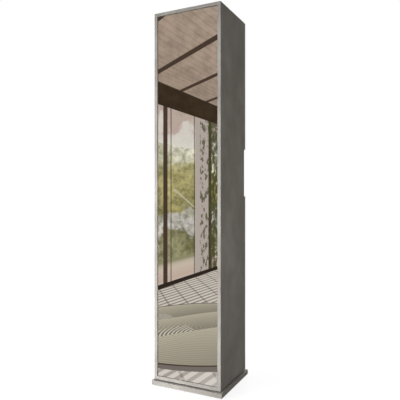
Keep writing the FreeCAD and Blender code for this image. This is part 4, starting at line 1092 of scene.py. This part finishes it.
# %% Dunes and crests
RIDGE_SLANT, RIDGE_PITCH = (0.7735, 0.6337), 0.17
LAST_RIDGE, LAST_SLOPE = -1.193, 0.35
WIND, WAVINESS = (5.0, 1.0), 0.06  # scale and detail of the noise, and how far it moves a ridge
DUNE_LIGHT_AND_SHADE = [(0.0, grey(1.26)), (0.25, grey(1.10)), (0.95, grey(0.72))]
CREST_LIGHT = from_srgb(222, 212, 196)
CREST_HEIGHT, CREST_SLANT, CREST_END = 0.62, (0.62, -0.785), 0.555
CREST_MIDDLE, CREST_PITCH = (-0.49, -1.17), 0.0105
CREST_LIGHT_SHARE, RING_SHADE_SHARE = 0.8, 0.75

wind = calculate(tree, "SUBTRACT", noise(tree, direction, *WIND), NOISE_MIDDLE)
across = slanted(tree, floor_x, floor_y, RIDGE_SLANT)
from_ridge = calculate(tree, "ADD", calculate(tree, "SUBTRACT", across, LAST_RIDGE),
                       calculate(tree, "MULTIPLY", wind, WAVINESS))
behind = calculate(tree, "LESS_THAN", from_ridge, 0.0)
saw_tooth = calculate(tree, "FRACT", calculate(tree, "DIVIDE", from_ridge, RIDGE_PITCH))
last_slope = calculate(tree, "DIVIDE", calculate(tree, "MAXIMUM", from_ridge, 0.0), LAST_SLOPE)
slope = calculate(tree, "ADD", both(tree, behind, saw_tooth),
                  calculate(tree, "MINIMUM", last_slope, 1.0))
# painted light and shade on the ridges: pale where a slope begins, darker up to its crest
room = shaded(tree, slope, DUNE_LIGHT_AND_SHADE, on_rug, room)
on_crest = both(tree, behind, calculate(tree, "GREATER_THAN", slope, CREST_HEIGHT))
crest_place = slanted(tree, floor_x, floor_y, CREST_SLANT)
on_crest = both(tree, on_crest, calculate(tree, "LESS_THAN", crest_place, CREST_END))
on_crest = both(tree, on_crest, on_rug)
# painted light on the raked crests, then rings of painted shade across them
room = painted(tree, on_crest, CREST_LIGHT_SHARE, room, CREST_LIGHT)
rings = stripes(tree, distance(tree, CREST_MIDDLE), CREST_PITCH, RAKED_WIDTH)
room = painted(tree, both(tree, on_crest, rings), RING_SHADE_SHARE, room, BAR_AND_SHADOW)
print("ridge pitch:", RIDGE_PITCH, "crest ring pitch:", CREST_PITCH)

# %% [markdown]
# ## Who sees the room
# One bright world for all rays would be simpler, but the room would tint the boards and show round
# the cabinet. So only rays that bounced off something polished, or went through glass, see the room.
# The camera itself sees plain white, and diffuse surfaces get a weaker, neutral light from all sides.

# %% World output
FILL = 0.175


def sky(tree, strength, colour=None):
    """A background of one strength, white unless it is given a colour."""
    node = tree.nodes.new("ShaderNodeBackground")
    node.inputs["Color"].default_value = (1.0, 1.0, 1.0, 1.0)
    node.inputs["Strength"].default_value = strength
    if colour is not None:
        tree.links.new(colour, node.inputs["Color"])
    return node.outputs[0]


seen = mixed(tree, light_path(tree, "Is Camera Ray"), sky(tree, FILL), sky(tree, 1.0))
polished = light_path(tree, "Is Glossy Ray", "Is Transmission Ray")
tree.links.new(mixed(tree, polished, seen, sky(tree, 1.0, room)),
               tree.nodes["World Output"].inputs["Surface"])
print("world nodes:", len(tree.nodes))

# %% [markdown]
# ## Light
# One large soft window in front and to the left lights the front edges and the base. The right side
# lies in soft shade: a narrow, weak lamp in front and to the right only lifts its near edge. A window
# behind and to the left keeps the door and the inside readable, and a small skylight shows the top.
# A bare lamp would light far more of the floor and the sides, so all but the rear window have a beam
# narrower than the half sphere that they would fill.
# All are hidden from polished surfaces, where a white rectangle would look like an error.

# %% Lamps
HALF_SPHERE = 180.0
# name: place, aim, size in metres, power in watts, beam in degrees
LAMPS = {
    "front_left_window": ((-1.8, -2.6, 0.75), (0.24, 0.0, 0.06), (1.7, 1.7), 51.5, 100.0),
    "front_right_window": ((1.7, -2.4, 0.95), (0.18, -0.6, 0.95), (0.8, 0.8), 3.2, 60.0),
    "rear_window": ((-0.75, 3.4, 1.5), (0.0, 0.2, 0.9), (1.6, 2.4), 130.0, HALF_SPHERE),
    "skylight": ((0.0, 0.0, 3.3), (0.0, 0.0, 0.0), (0.9, 0.9), 5.5, 70.0),
}


def aimed(place, aim):
    """The turn that points a lamp or a camera from its place at its aim."""
    return (Vector(aim) - Vector(place)).to_track_quat("-Z", "Y").to_euler()


def soft_lamp(name, place, aim, size, power, beam):
    data = bpy.data.lights.new(name, "AREA")
    data.shape = "RECTANGLE"
    data.size, data.size_y = size
    data.energy = power
    data.spread = math.radians(beam)
    lamp = bpy.data.objects.new(name, data)
    lamp.location = place
    lamp.rotation_euler = aimed(place, aim)
    lamp.visible_glossy = False
    bpy.context.scene.collection.objects.link(lamp)


for name, settings in LAMPS.items():
    soft_lamp(name, *settings)
print("lamps:", list(LAMPS))

# %% [markdown]
# ## Camera
# The view is level, at a little over half the cabinet's height, so all upright edges stay parallel. A
# tilted camera would let them lean. The cabinet is moved into the frame with a small shift instead.
# The camera stands to the right of the front, close enough for strong lines to the side.

# %% Camera
CAMERA_PLACE = (1.0695, -2.1872, 0.957)
VIEW_DIRECTION = (-0.4416, 0.8972, 0.0)
FOCAL_LENGTH = 42.0
SENSOR_WIDTH = 36.0
SHIFT_UP = -0.01
camera_data = bpy.data.cameras.new("camera")
camera_data.lens = FOCAL_LENGTH
camera_data.sensor_width = SENSOR_WIDTH
camera_data.shift_y = SHIFT_UP
camera = bpy.data.objects.new("camera", camera_data)
camera.location = CAMERA_PLACE
camera.rotation_euler = aimed((0.0, 0.0, 0.0), VIEW_DIRECTION)
bpy.context.scene.collection.objects.link(camera)
bpy.context.scene.camera = camera
bpy.context.scene.view_settings.view_transform = "Standard"
print("camera height:", CAMERA_PLACE[2], "lens:", FOCAL_LENGTH)
